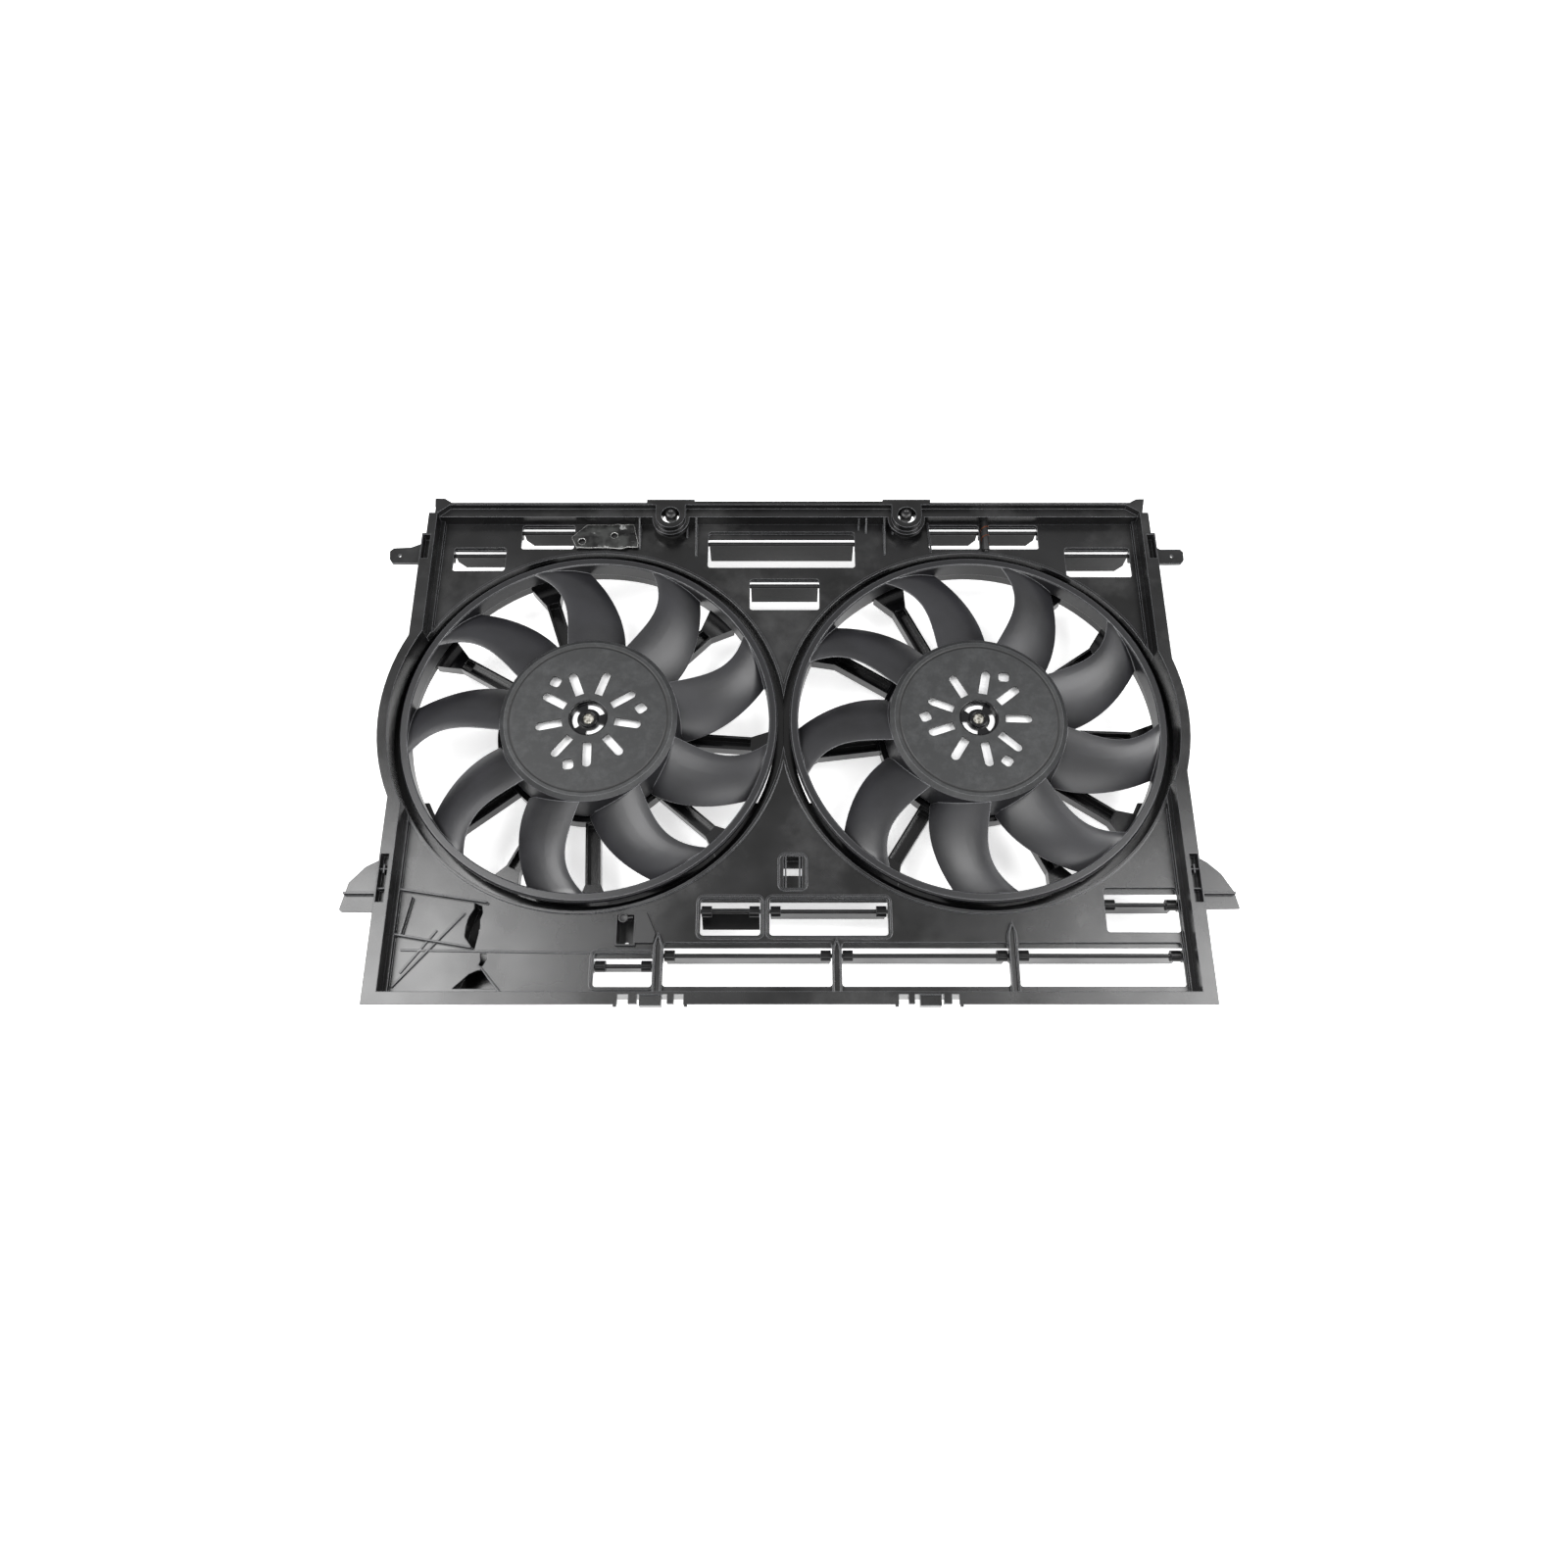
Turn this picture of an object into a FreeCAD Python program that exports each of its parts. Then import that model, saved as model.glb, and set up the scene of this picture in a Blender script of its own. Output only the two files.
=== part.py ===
import FreeCAD, Part
import math
import os
import re
import Sketcher
from FreeCAD import Placement, Rotation, Vector

# Twin radiator fan: a moulded tray that closes the back of a car's radiator, with two ring fans on flat
# outer-rotor motors and fourteen ram-air flaps. It lies on its motors' rear covers, radiator side up.
# Origin: middle of the outline on the ground. +X to the right, +Y to the vehicle's top edge, +Z to the radiator.

# Driving dimensions, in millimetres
SIZES = {
    # Levels above the ground
    "rim_level": 86,  # top of the tray's rim
    "ledge_drop": 7,  # rim down to the ledge along the top wall
    "plate_drop": 20,  # rim down to the plate
    "plate_thickness": 2.5,  # plate
    "wall": 2.5,  # tray walls, groove floor and ring walls
    "flange_thickness": 2.5,  # flange round the rim
    "groove_floor_drop": 36,  # rim down to the floor of the groove round each fan
    "ring_drop": 52,  # rim down to the lower edge of each ring
    "strut_top_drop": 46,  # rim down to the top of the motor struts
    "strut_height": 12,  # height of the motor struts
    # Tray outline, measured from the grooves round the fans
    "side_cut": 17.25,  # how far the groove of a fan reaches past the side wall
    "head_room": 36.1,  # groove up to the foot of the top wall
    "foot_room": 75.5,  # groove down to the bottom wall
    "top_ledge": 9.7,  # depth of the ledge along the top wall
    "side_flange": 12.5,  # side wall out to the edge of the flange
    "bottom_flange": 11,  # bottom wall out to the edge of the flange
    "bulge_flange": 9,  # groove out to the edge of the flange where it goes round a fan
    "wall_foot": 4.2,  # width of the step along the foot of the side walls
    "wall_foot_height": 5,  # height of that step
    # Fans
    "groove_overlap": 1.75,  # how far the groove of each fan passes the line between them
    "fan_offset": -5,  # middle of the two axes, left of the tray's middle
    "fan_axis_height": 17.5,  # axes above the tray's middle
    "groove_width": 9,  # ring's bore out to the groove's outer wall
    "bead_height": 2.5,  # bead along the plate's edge round a fan
    "band_gap": 4,  # band out to the bore of the ring that the air leaves by
    "band_radius": 169.5,  # inside of the band that joins the blade tips
    "band_wall": 2.5,  # wall of the band
    "band_drop": 14,  # rim down to the front of the band
    "band_height": 18,  # depth of the band
    "lip_reach": 5.6,  # band out to the edge of its front lip
    "hub_drop": 9,  # rim down to the hub's face
    "hub_face_radius": 79,  # flat face of the hub
    "hub_edge_radius": 83.4,  # edge of the hub below its chamfer
    "hub_chamfer": 3,  # height of the hub's chamfer
    "hub_skirt_radius": 87,  # lower end of the hub's skirt
    "hub_depth": 31,  # face to lower end of the skirt
    "hub_recess_radius": 17,  # round recess in the middle of the hub
    "hub_recess_depth": 4.5,  # depth of that recess
    "hub_collar_radius": 9.2,  # collar round the screw in that recess
    "hub_collar_bore": 6,  # inside of the collar
    "hub_collar_height": 2.4,  # height of the collar
    "kidney_inner": 10.8,  # inner edge of the curved openings in the recess
    "kidney_outer": 15.6,  # outer edge of those openings
    "kidney_sweep": 75,  # angle that each of them covers
    "slot_start": 25,  # inner end of the hub's slots
    "slot_end": 50,  # outer end of the hub's slots
    "slot_width": 8.3,  # width of the hub's slots
    "hub_hole_circle": 50,  # circle of the three square holes
    "hub_hole_side": 10.2,  # sides of the three square holes
    "hub_hole_corner": 3,  # their rounded corners
    "blade_count": 9,  # blades on each fan
    "blade_thickness": 2.4,  # blade
    "blade_camber": 4.5,  # height of the blade's curve over its chord
    "blade_lead_root": 11.5,  # leading edge at the root, ahead of the span line
    "blade_trail_root": 42,  # trailing edge at the root, behind the span line
    "blade_lead_back": 12,  # how far the leading edge first falls back along the span
    "blade_lead_sweep": 45.5,  # forward sweep of the leading edge towards the tip
    "blade_trail_back": 15.4,  # how far the trailing edge first falls back along the span
    "blade_trail_sweep": 41.9,  # forward sweep of the trailing edge towards the tip
    "blade_lead_drop": 13,  # rim down to the leading edge at the root
    "blade_lead_fall": 2.5,  # how much lower the leading edge is at the tip
    "blade_trail_drop": 38,  # rim down to the trailing edge at the root
    "blade_trail_rise": 8,  # how much higher the trailing edge is at the tip
    # Motors
    "cover_radius": 57,  # rear cover of a motor
    "cover_wall": 2.5,  # wall of the rear cover
    "mount_bore": 60,  # bore of the motor's seat in the struts' ring
    "mount_radius": 92,  # outside of the struts' ring
    "mount_rim": 2.5,  # height of the rim round the motor's flange
    "motor_flange_radius": 85,  # flange of the motor's base
    "motor_flange_thickness": 4,  # flange of the motor's base
    "motor_screw_circle": 77,  # circle of the motor's three screws
    "motor_screw_radius": 2.5,  # shank of the motor's screws
    "post_radius": 14,  # bearing post in the middle of the base
    "post_height": 21.5,  # bearing post above the flange
    "shaft_radius": 4,  # motor shaft
    "bearing_radius": 11,  # outer race of the ball bearings
    "bearing_width": 7,  # ball bearings
    "running_clearance": 0.05,  # between the shaft and its bearings, and round seated pieces
    "board_radius": 50,  # controller board
    "board_thickness": 1.6,  # controller board
    "board_level": 20,  # upper face of the controller board
    "pillar_circle": 44,  # circle of the three pillars below the motor's base
    "pillar_radius": 6,  # pillars below the motor's base
    "can_radius": 69,  # steel rotor can
    "can_wall": 3,  # wall of the rotor can
    "magnet_thickness": 4,  # ring magnet in the rotor can
    "air_gap": 1,  # between the stator's teeth and the magnet
    "stator_height": 12,  # stack of stator laminations
    "stator_lift": 6,  # base flange up to the laminations
    "tooth_count": 12,  # stator teeth
    "tooth_width": 7,  # stator teeth
    "yoke_radius": 26,  # inner yoke of the stator
    "shoe_thickness": 3,  # shoes at the outer ends of the teeth
    "coil_wrap": 2.6,  # copper on each side of a tooth
    "strut_width": 14,  # motor struts
    "strut_foot_width": 34,  # foot of a strut at the ring
    "strut_foot_length": 24,  # length of that foot
    "strut_floor": 2.5,  # floor of a strut's channel
    "strut_side": 2.2,  # sides of a strut's channel
    # Flaps and their windows
    "pin_drop": 6,  # plate's top down to the flap pins
    "pin_radius": 2,  # flap pins
    "pin_clearance": 0.1,  # between a flap pin and its lug
    "pin_length": 4,  # flap pins beyond the flap's ends
    "lug_thickness": 2.5,  # lugs that hold the flap pins
    "lug_gap": 0.4,  # between a window's side and its lug
    "flap_thickness": 1.6,  # flaps
    "flap_side_gap": 0.8,  # between a flap's end and the window's side
    "flap_lip": 3,  # flap above its pins
    "flap_end_gap": 1.3,  # between a shut flap and the window's lower edge
    "flap_corner": 6,  # cut corner of some flaps, across
    "flap_corner_rise": 10,  # cut corner of some flaps, upwards
    "knob_radius": 5,  # thick ends of a flap's spindle in the lower windows
    "knob_length": 9,  # those thick ends
    "sill_thickness": 1.5,  # strip below the plate along a window's upper edge
    "window_corner": 3,  # rounded corners of the windows
    "frame_rib": 1.6,  # raised rib round some windows
    # Window rows: upper edges below the foot of the top wall or above the bottom wall, then heights
    "shoulder_row_drop": 28.1,  # the two outer windows at the top
    "shoulder_left_height": 26.7,
    "shoulder_right_height": 33.8,
    "upper_row_drop": 1.5,  # the small windows at the top
    "upper_row_height": 28,
    "grille_drop": 9.3,  # wide middle window
    "grille_height": 41.8,
    "slot_drop": 64.4,  # short middle window
    "slot_height": 35,
    "belt_row_rise": 87.5,  # the windows below the fans
    "belt_row_height": 33.7,
    "belt_right_rise": 97.7,  # the last of them
    "belt_right_height": 41,
    "foot_row_rise": 47.5,  # bottom row
    "foot_row_height": 39.1,
    "foot_first_rise": 38.1,  # first window of the bottom row
    "foot_first_height": 30,
    # Window fittings: the strip at the upper edge, then the upper edge down to the flap's pins
    "shoulder_sill": 2.6,
    "shoulder_pin": 6,
    "upper_sill": 2.5,
    "upper_pin": 5.6,
    "grille_sill": 7.2,
    "grille_pin": 10.8,
    "slot_sill": 1.6,
    "slot_pin": 4.6,
    "belt_sill": 2.8,
    "belt_pin": 10.3,
    "belt_right_sill": 5.5,
    "belt_right_pin": 14.5,
    "foot_sill": 4.4,
    "foot_pin": 10.6,
    # Eyes, side tabs and their holes
    "eye_spread": 118.2,  # eyes from the tray's middle
    "eye_radius": 9.2,  # hole of an eye
    "eye_depth": 12,  # length of that hole
    "eye_boss": 17,  # boss round an eye
    "tab_hole_radius": 1.5,  # hole in each side tab
    "tab_hole_out": 22,  # that hole, outside the flange on the left
    # Windows: left edge, measured from the side wall, a fan's axis or the middle of the fans, and width
    "shoulder_left_edge": 15,
    "shoulder_left_width": 52.5,
    "upper_left_edge": -80.95,
    "upper_left_width": 53.2,
    "grille_edge": -75.9,
    "grille_width": 147.4,
    "middle_edge": -33.4,
    "middle_width": 68.6,
    "upper_right_inner_edge": -37.05,
    "upper_right_inner_width": 51.2,
    "upper_right_outer_edge": 22.35,
    "upper_right_outer_width": 51.2,
    "shoulder_right_edge": -74,
    "shoulder_right_width": 65.2,
    "belt_left_edge": -73.8,
    "belt_left_width": 53.2,
    "belt_middle_edge": -12.4,
    "belt_middle_width": 104.9,
    "belt_right_edge": -70.2,
    "belt_right_width": 65.5,
    "foot_first_edge": -165.9,
    "foot_first_width": 51.2,
    "foot_left_edge": -105.5,
    "foot_left_width": 147.9,
    "foot_middle_edge": 51.1,
    "foot_middle_width": 146.3,
    "foot_right_edge": -150.4,
    "foot_right_width": 144.4,
}

doc = FreeCAD.newDocument("radiator_fan")
sizes = doc.addObject("Spreadsheet::Sheet", "sizes")
for row, (name, number) in enumerate(SIZES.items(), 1):
    sizes.set("A%d" % row, name)
    sizes.set("B%d" % row, str(number))
    sizes.setAlias("B%d" % row, name)
doc.recompute()

WORD = re.compile(r"[a-z][a-z0-9_]*")


def formula(text):
    """An expression in which every size's name is turned into its cell."""
    return WORD.sub(lambda found: "sizes." + found[0] if found[0] in SIZES else found[0], str(text))


def value(text):
    """The number that an expression of sizes gives."""
    return float(sizes.evalExpression(formula(text)))


def bind(item, **formulas):
    """Tie properties of an object to expressions of sizes."""
    for name, text in formulas.items():
        item.setExpression(name, formula(text))


def place(item, east, north, up):
    """Tie an object's position to expressions of sizes."""
    item.setExpression("Placement.Base.x", formula(east))
    item.setExpression("Placement.Base.y", formula(north))
    item.setExpression("Placement.Base.z", formula(up))
    return item


def block(name, east, north, up):
    """A box between two expressions along each axis."""
    item = doc.addObject("Part::Box", name)
    bind(item, Length="(%s) - (%s)" % (east[1], east[0]), Width="(%s) - (%s)" % (north[1], north[0]))
    bind(item, Height="(%s) - (%s)" % (up[1], up[0]))
    return place(item, east[0], north[0], up[0])


def drum(name, radius, up, east="0", north="0", seam=0):
    """An upright cylinder between two levels, with its seam turned clear of others that meet it."""
    item = doc.addObject("Part::Cylinder", name)
    bind(item, Radius=radius, Height="(%s) - (%s)" % (up[1], up[0]))
    item.Placement = Placement(Vector(), Rotation(Vector(0, 0, 1), seam))
    return place(item, east, north, up[0])


def rod(name, radius, east, north, up):
    """A cylinder along X between two expressions."""
    item = doc.addObject("Part::Cylinder", name)
    bind(item, Radius=radius, Height="(%s) - (%s)" % (east[1], east[0]))
    item.Placement = Placement(Vector(), Rotation(Vector(0, 1, 0), 90))
    return place(item, east[0], north, up)


def join(name, items):
    item = doc.addObject("Part::MultiFuse", name)
    item.Shapes = items
    return item


def subtract(name, base, tool):
    item = doc.addObject("Part::Cut", name)
    item.Base = base
    item.Tool = tool
    return item


def solid_feature(name, shape):
    """An object whose shape is worked out here from the sheet's sizes."""
    item = doc.addObject("Part::Feature", name)
    item.Shape = shape
    return item


def turned_body(name, corners):
    """A body turned about Z from a closed outline of (radius, level) expressions."""
    body = doc.addObject("PartDesign::Body", name)
    body.Label = name
    sketch = body.newObject("Sketcher::SketchObject", name + "_outline")
    plane = [item for item in body.Origin.OriginFeatures if item.Role == "XZ_Plane"][0]
    sketch.AttachmentSupport = [(plane, "")]
    sketch.MapMode = "FlatFace"
    points = [Vector(value(radius), value(level), 0) for radius, level in corners]
    for index, point in enumerate(points):
        sketch.addGeometry(Part.LineSegment(point, points[(index + 1) % len(points)]), False)
    for index, (radius, level) in enumerate(corners):
        following = (index + 1) % len(points)
        sketch.addConstraint(Sketcher.Constraint("Coincident", index, 2, following, 1))
        if points[index].x > 0:
            tie(sketch, "DistanceX", index, radius, points[index].x)
        else:
            sketch.addConstraint(Sketcher.Constraint("PointOnObject", index, 1, -2))
        tie(sketch, "DistanceY", index, level, points[index].y)
    turn = body.newObject("PartDesign::Revolution", name + "_turn")
    turn.Profile = sketch
    turn.ReferenceAxis = (sketch, ["V_Axis"])
    turn.Angle = 360
    return body


def tie(sketch, kind, index, text, number):
    """Hold one corner of a sketch at an expression's distance from the origin."""
    added = sketch.addConstraint(Sketcher.Constraint(kind, -1, 1, index, 1, number))
    sketch.setExpression("Constraints[%d]" % added, formula(text))


# Levels and places that follow from the sizes
RIM = "rim_level"
PLATE = "(rim_level - plate_drop)"
UNDER = "(rim_level - plate_drop - plate_thickness)"
FLOOR = "(rim_level - groove_floor_drop)"
RING_END = "(rim_level - ring_drop)"
STRUT = "(rim_level - strut_top_drop)"
LEDGE = "(rim_level - ledge_drop)"
ABOVE = "(rim_level + 1)"
RING = "(band_radius + band_wall + band_gap)"
GROOVE = "(band_radius + band_wall + band_gap + groove_width)"
AXES = "(%s - groove_overlap)" % GROOVE
AXIS = "fan_axis_height"
SIDES = {"left": "(fan_offset - %s)" % AXES, "right": "(fan_offset + %s)" % AXES}
WALL_X = "(%s + %s - side_cut)" % (AXES, GROOVE)
WALL_TOP = "(fan_axis_height + %s + head_room)" % GROOVE
WALL_LOW = "(fan_axis_height - %s - foot_room)" % GROOVE
LEDGE_TOP = "(%s + top_ledge)" % WALL_TOP
OUT_X = "(%s + wall)" % WALL_X
EDGE_X = "(%s + side_flange)" % WALL_X
EDGE_LOW = "(%s - bottom_flange)" % WALL_LOW

# Angle that each fan wheel stands at, and of the struts seen from the radiator side
WHEEL_ANGLE = {"left": 0, "right": 47}
STRUT_ANGLES = {
    "left": (46, 109, 150, 218, 244, 273, 319, 356),
    "right": (35, 62, 116, 148, 187, 238, 296, 326, 358),
}


def spider_shape(angles):
    """The ring that a motor sits on and its channel-shaped struts, about the motor's axis."""
    top = value(STRUT)
    low = top - value("strut_height")
    ring_in = value("mount_bore")
    ring_out = value("mount_radius")
    reach = value(RING + " - running_clearance")
    width = value("strut_width")
    foot_start = reach - value("strut_foot_length")
    seat = Part.makeCylinder(ring_out, top - low, Vector(0, 0, low))
    rim = Part.makeCylinder(ring_out, value("mount_rim"), Vector(0, 0, top))
    rim = rim.cut(Part.makeCylinder(value("motor_flange_radius + 0.5"), value("mount_rim"), Vector(0, 0, top)))
    whole = seat.fuse(rim)
    pieces = []
    for angle in angles:
        bar = Part.makeBox(reach - ring_out + 4, width, top - low, Vector(ring_out - 4, -width / 2, low))
        half = value("strut_foot_width / 2")
        foot = Part.makePolygon([Vector(foot_start, -width / 2, low), Vector(reach, -half, low),
                                 Vector(reach, half, low), Vector(foot_start, width / 2, low),
                                 Vector(foot_start, -width / 2, low)])
        foot = Part.Face(foot).extrude(Vector(0, 0, top - low))
        channel_width = width - 2 * value("strut_side")
        channel = Part.makeBox(foot_start - ring_out - 2, channel_width, top - low,
                               Vector(ring_out + 2, -channel_width / 2, low + value("strut_floor")))
        piece = bar.fuse(foot).cut(channel)
        piece.rotate(Vector(), Vector(0, 0, 1), angle)
        pieces.append(piece)
    whole = whole.fuse(pieces)
    limit = Part.makeCylinder(reach, value("mount_rim") + top - low, Vector(0, 0, low))
    bore = Part.makeCylinder(ring_in, 4 * (top - low), Vector(0, 0, low - top + low))
    return whole.common(limit).cut(bore)


def motor_screw_angles():
    return (90, 210, 330)


def screw_holes():
    """Three holes for the motor's screws, about the motor's axis."""
    holes = []
    for angle in motor_screw_angles():
        spot = Vector(value("motor_screw_circle"), 0, value(STRUT) - 2 * value("strut_height"))
        radius = value("motor_screw_radius + running_clearance")
        hole = Part.makeCylinder(radius, 4 * value("strut_height"), spot)
        hole.rotate(Vector(), Vector(0, 0, 1), angle)
        holes.append(hole)
    return holes


# Windows: name, where the left edge is measured from, upper edge, height, strip, pins, and the flap's form:
# which lower corners are cut, or whether its spindle has knobs
MIDDLE = "fan_offset"
SHOULDER = "(%s - shoulder_row_drop)" % WALL_TOP
UPPER = "(%s - upper_row_drop)" % WALL_TOP
BELT = "(%s + belt_row_rise)" % WALL_LOW
FOOT = "(%s + foot_row_rise)" % WALL_LOW
WINDOWS = (
    ("shoulder_left", "-" + WALL_X, SHOULDER, "shoulder_left_height", "shoulder_sill", "shoulder_pin", "left"),
    ("upper_left", SIDES["left"], UPPER, "upper_row_height", "upper_sill", "upper_pin", "left"),
    ("grille", MIDDLE, "(%s - grille_drop)" % WALL_TOP, "grille_height", "grille_sill", "grille_pin", ""),
    ("middle", MIDDLE, "(%s - slot_drop)" % WALL_TOP, "slot_height", "slot_sill", "slot_pin", ""),
    ("upper_right_inner", SIDES["right"], UPPER, "upper_row_height", "upper_sill", "upper_pin", "right"),
    ("upper_right_outer", SIDES["right"], UPPER, "upper_row_height", "upper_sill", "upper_pin", "right"),
    ("shoulder_right", WALL_X, SHOULDER, "shoulder_right_height", "shoulder_sill", "shoulder_pin", "right"),
    ("belt_left", MIDDLE, BELT, "belt_row_height", "belt_sill", "belt_pin", "knobs"),
    ("belt_middle", MIDDLE, BELT, "belt_row_height", "belt_sill", "belt_pin", "knobs"),
    ("belt_right", WALL_X, "(%s + belt_right_rise)" % WALL_LOW, "belt_right_height", "belt_right_sill",
     "belt_right_pin", "knobs"),
    ("foot_first", MIDDLE, "(%s + foot_first_rise)" % WALL_LOW, "foot_first_height", "foot_sill", "foot_pin",
     "knobs"),
    ("foot_left", MIDDLE, FOOT, "foot_row_height", "foot_sill", "foot_pin", "knobs"),
    ("foot_middle", MIDDLE, FOOT, "foot_row_height", "foot_sill", "foot_pin", "knobs"),
    ("foot_right", WALL_X, FOOT, "foot_row_height", "foot_sill", "foot_pin", "knobs"),
)
FRAMED = ("belt_left", "belt_middle", "foot_first")
# The one flap that rests part way shut, and how far it stands from hanging
LIFTED = {"belt_left": 30}


def slab(name, corners, low, high, shrink=0):
    """An upright prism over an outline of (east, north) expressions, or over that outline drawn in a little."""
    points = [Vector(value(east), value(north), value(low)) for east, north in corners]
    face = Part.Face(Part.makePolygon(points + points[:1]))
    if shrink:
        face = face.makeOffset2D(-shrink)
    return solid_feature(name, face.extrude(Vector(0, 0, value("(%s) - (%s)" % (high, low)))))


def outline(points, east, north, sign=""):
    """Points as expressions, measured from a place; with a minus sign they count to the left."""
    return [("%s(%s + %s)" % (sign, east, x), "%s + %s" % (north, y)) for x, y in points]


def rounded(name, item, radius):
    """A box with its upright edges rounded."""
    item.recompute()
    upright = []
    for number, edge in enumerate(item.Shape.Edges, 1):
        first, last = edge.Vertexes[0].Point, edge.Vertexes[-1].Point
        if abs(first.x - last.x) < 0.001 and abs(first.y - last.y) < 0.001:
            upright.append((number, radius, radius))
    rounding = doc.addObject("Part::Fillet", name)
    rounding.Base = item
    rounding.Edges = upright
    return rounding


def rib(name, start, end, height, width=1.6):
    """A straight rib standing on the plate, between two (east, north) places."""
    a = Vector(value(start[0]), value(start[1]), 0)
    b = Vector(value(end[0]), value(end[1]), 0)
    across = Vector(a.y - b.y, b.x - a.x, 0).normalize() * (width / 2)
    corners = [(p.x, p.y) for p in (a + across, a - across, b - across, b + across)]
    return slab(name, corners, PLATE + " - 0.5", PLATE + " + %s" % height)


def gusset(name, east, reach):
    """An upright fin in the corner between the top wall and the plate."""
    x = value(east)
    wall = value(WALL_TOP) + 1
    low = value(PLATE) - 0.5
    points = [Vector(x, wall, low), Vector(x, wall - reach, low), Vector(x, wall - reach, low + 2),
              Vector(x, wall, value(LEDGE) - 1)]
    return solid_feature(name, Part.Face(Part.makePolygon(points + points[:1])).extrude(Vector(1.4, 0, 0)))


# The tray: walls, ledge, flange and the two grooves
tray_parts = [
    block("tray_block", ("-" + OUT_X, OUT_X), (WALL_LOW + " - wall", WALL_TOP + " + wall"), (UNDER, RIM)),
    block("top_block", ("-" + OUT_X, OUT_X), (WALL_TOP, LEDGE_TOP + " + wall"), (LEDGE + " - wall", RIM)),
    block("flange_plate", ("-" + EDGE_X, EDGE_X), (EDGE_LOW, WALL_TOP + " + 0.4"),
          (RIM + " - flange_thickness", RIM)),
]
for side, axis in SIDES.items():
    tray_parts.append(drum(side + "_groove_block", GROOVE + " + wall", (FLOOR + " - wall", RIM), axis, AXIS))
    edge = RIM + " - flange_thickness"
    tray_parts.append(drum(side + "_flange_bulge", GROOVE + " + bulge_flange", (edge, RIM), axis, AXIS))
tray_solid = join("tray_solid", tray_parts)
tray_room = join("tray_room", [
    block("room_low", ("-" + WALL_X, WALL_X), (WALL_LOW, WALL_TOP), (PLATE, ABOVE)),
    block("room_top", ("-" + WALL_X, WALL_X), (WALL_TOP + " - 1", LEDGE_TOP), (LEDGE, ABOVE)),
])
tray_shell = subtract("tray_shell", tray_solid, tray_room)

added = [tray_shell]
removed = []
fan_ways = []
for side, sign in (("left", "-"), ("right", "")):
    ends = sorted((sign + "(%s - wall_foot)" % WALL_X, sign + WALL_X), key=value)
    added.append(block(side + "_wall_foot", ends, (WALL_LOW + " - 1", WALL_TOP + " + 1"),
                       (PLATE + " - 1", PLATE + " + wall_foot_height")))
for side, axis in SIDES.items():
    bead_top = PLATE + " + bead_height"
    added.append(drum(side + "_bead", GROOVE + " + wall", (PLATE + " - 1", bead_top), axis, AXIS))
    added.append(drum(side + "_ring_wall", RING + " + wall", (RING_END, FLOOR), axis, AXIS))
    fan_ways.append(drum(side + "_groove", GROOVE, (FLOOR, ABOVE), axis, AXIS, 60))
    fan_ways.append(drum(side + "_air_way", RING, (RING_END + " - 1", FLOOR + " + 1"), axis, AXIS, 60))
added.append(block("ring_web", ("fan_offset - 8", "fan_offset + 8"), (AXIS + " - 24", AXIS + " + 24"),
                   (RING_END, FLOOR)))

# Windows with their lugs and sills
PIVOT_Z = PLATE + " - pin_drop"


def sides_of(window, datum):
    """Left and right edges of a window."""
    west = "(%s + %s_edge)" % (datum, window)
    return west, "(%s + %s_width)" % (west, window)


for window, datum, top, height, sill, pin, form in WINDOWS:
    west, east = sides_of(window, datum)
    pivot = "%s - %s" % (top, pin)
    hole = block(window + "_window_block", (west, east), ("%s - %s" % (top, height), top),
                 (UNDER + " - 1", PLATE + " + 1"))
    removed.append(rounded(window + "_window", hole, value("window_corner")))
    lug_low = PIVOT_Z + " - pin_radius - 3"
    lug_west = (west + " - lug_gap - lug_thickness", west + " - lug_gap")
    lug_east = (east + " + lug_gap", east + " + lug_gap + lug_thickness")
    for end, spread in (("west", lug_west), ("east", lug_east)):
        lug = block("%s_lug_%s" % (window, end), spread, (pivot + " - 5", pivot + " + 5"), (lug_low, UNDER))
        added.append(lug)
    removed.append(rod(window + "_bore", "pin_radius + pin_clearance",
                       (lug_west[0] + " - 0.5", lug_east[1] + " + 0.5"), pivot, PIVOT_Z))
    added.append(block(window + "_sill", (west + " - 2", east + " + 2"), ("%s - %s" % (top, sill), top + " + 2"),
                       (UNDER + " - sill_thickness", UNDER)))

# Raised ribs round some windows and round the latch
LATCH_X = ("(fan_offset - 5)", "(fan_offset + 21.5)")
LATCH_Y = ("(%s + 94.5)" % WALL_LOW, "(%s + 130.5)" % WALL_LOW)
framed = {"latch": (LATCH_X, LATCH_Y)}
for window, datum, top, height, sill, pin, form in WINDOWS:
    if window in FRAMED:
        west, east = sides_of(window, datum)
        framed[window] = ((west + " - 3.5", east + " + 3.5"), ("%s - %s - 3.5" % (top, height), top + " + 3.5"))
for name, (across, along) in framed.items():
    outer = block(name + "_frame_block", across, along, (PLATE + " - 1", PLATE + " + frame_rib"))
    inner = block(name + "_frame_room", (across[0] + " + frame_rib", across[1] + " - frame_rib"),
                  (along[0] + " + frame_rib", along[1] + " - frame_rib"), (PLATE, ABOVE))
    corner = value("window_corner + 3.5")
    frame = subtract(name + "_frame", rounded(name + "_frame_outside", outer, corner),
                     rounded(name + "_frame_inside", inner, corner - value("frame_rib")))
    added.append(frame)

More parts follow.
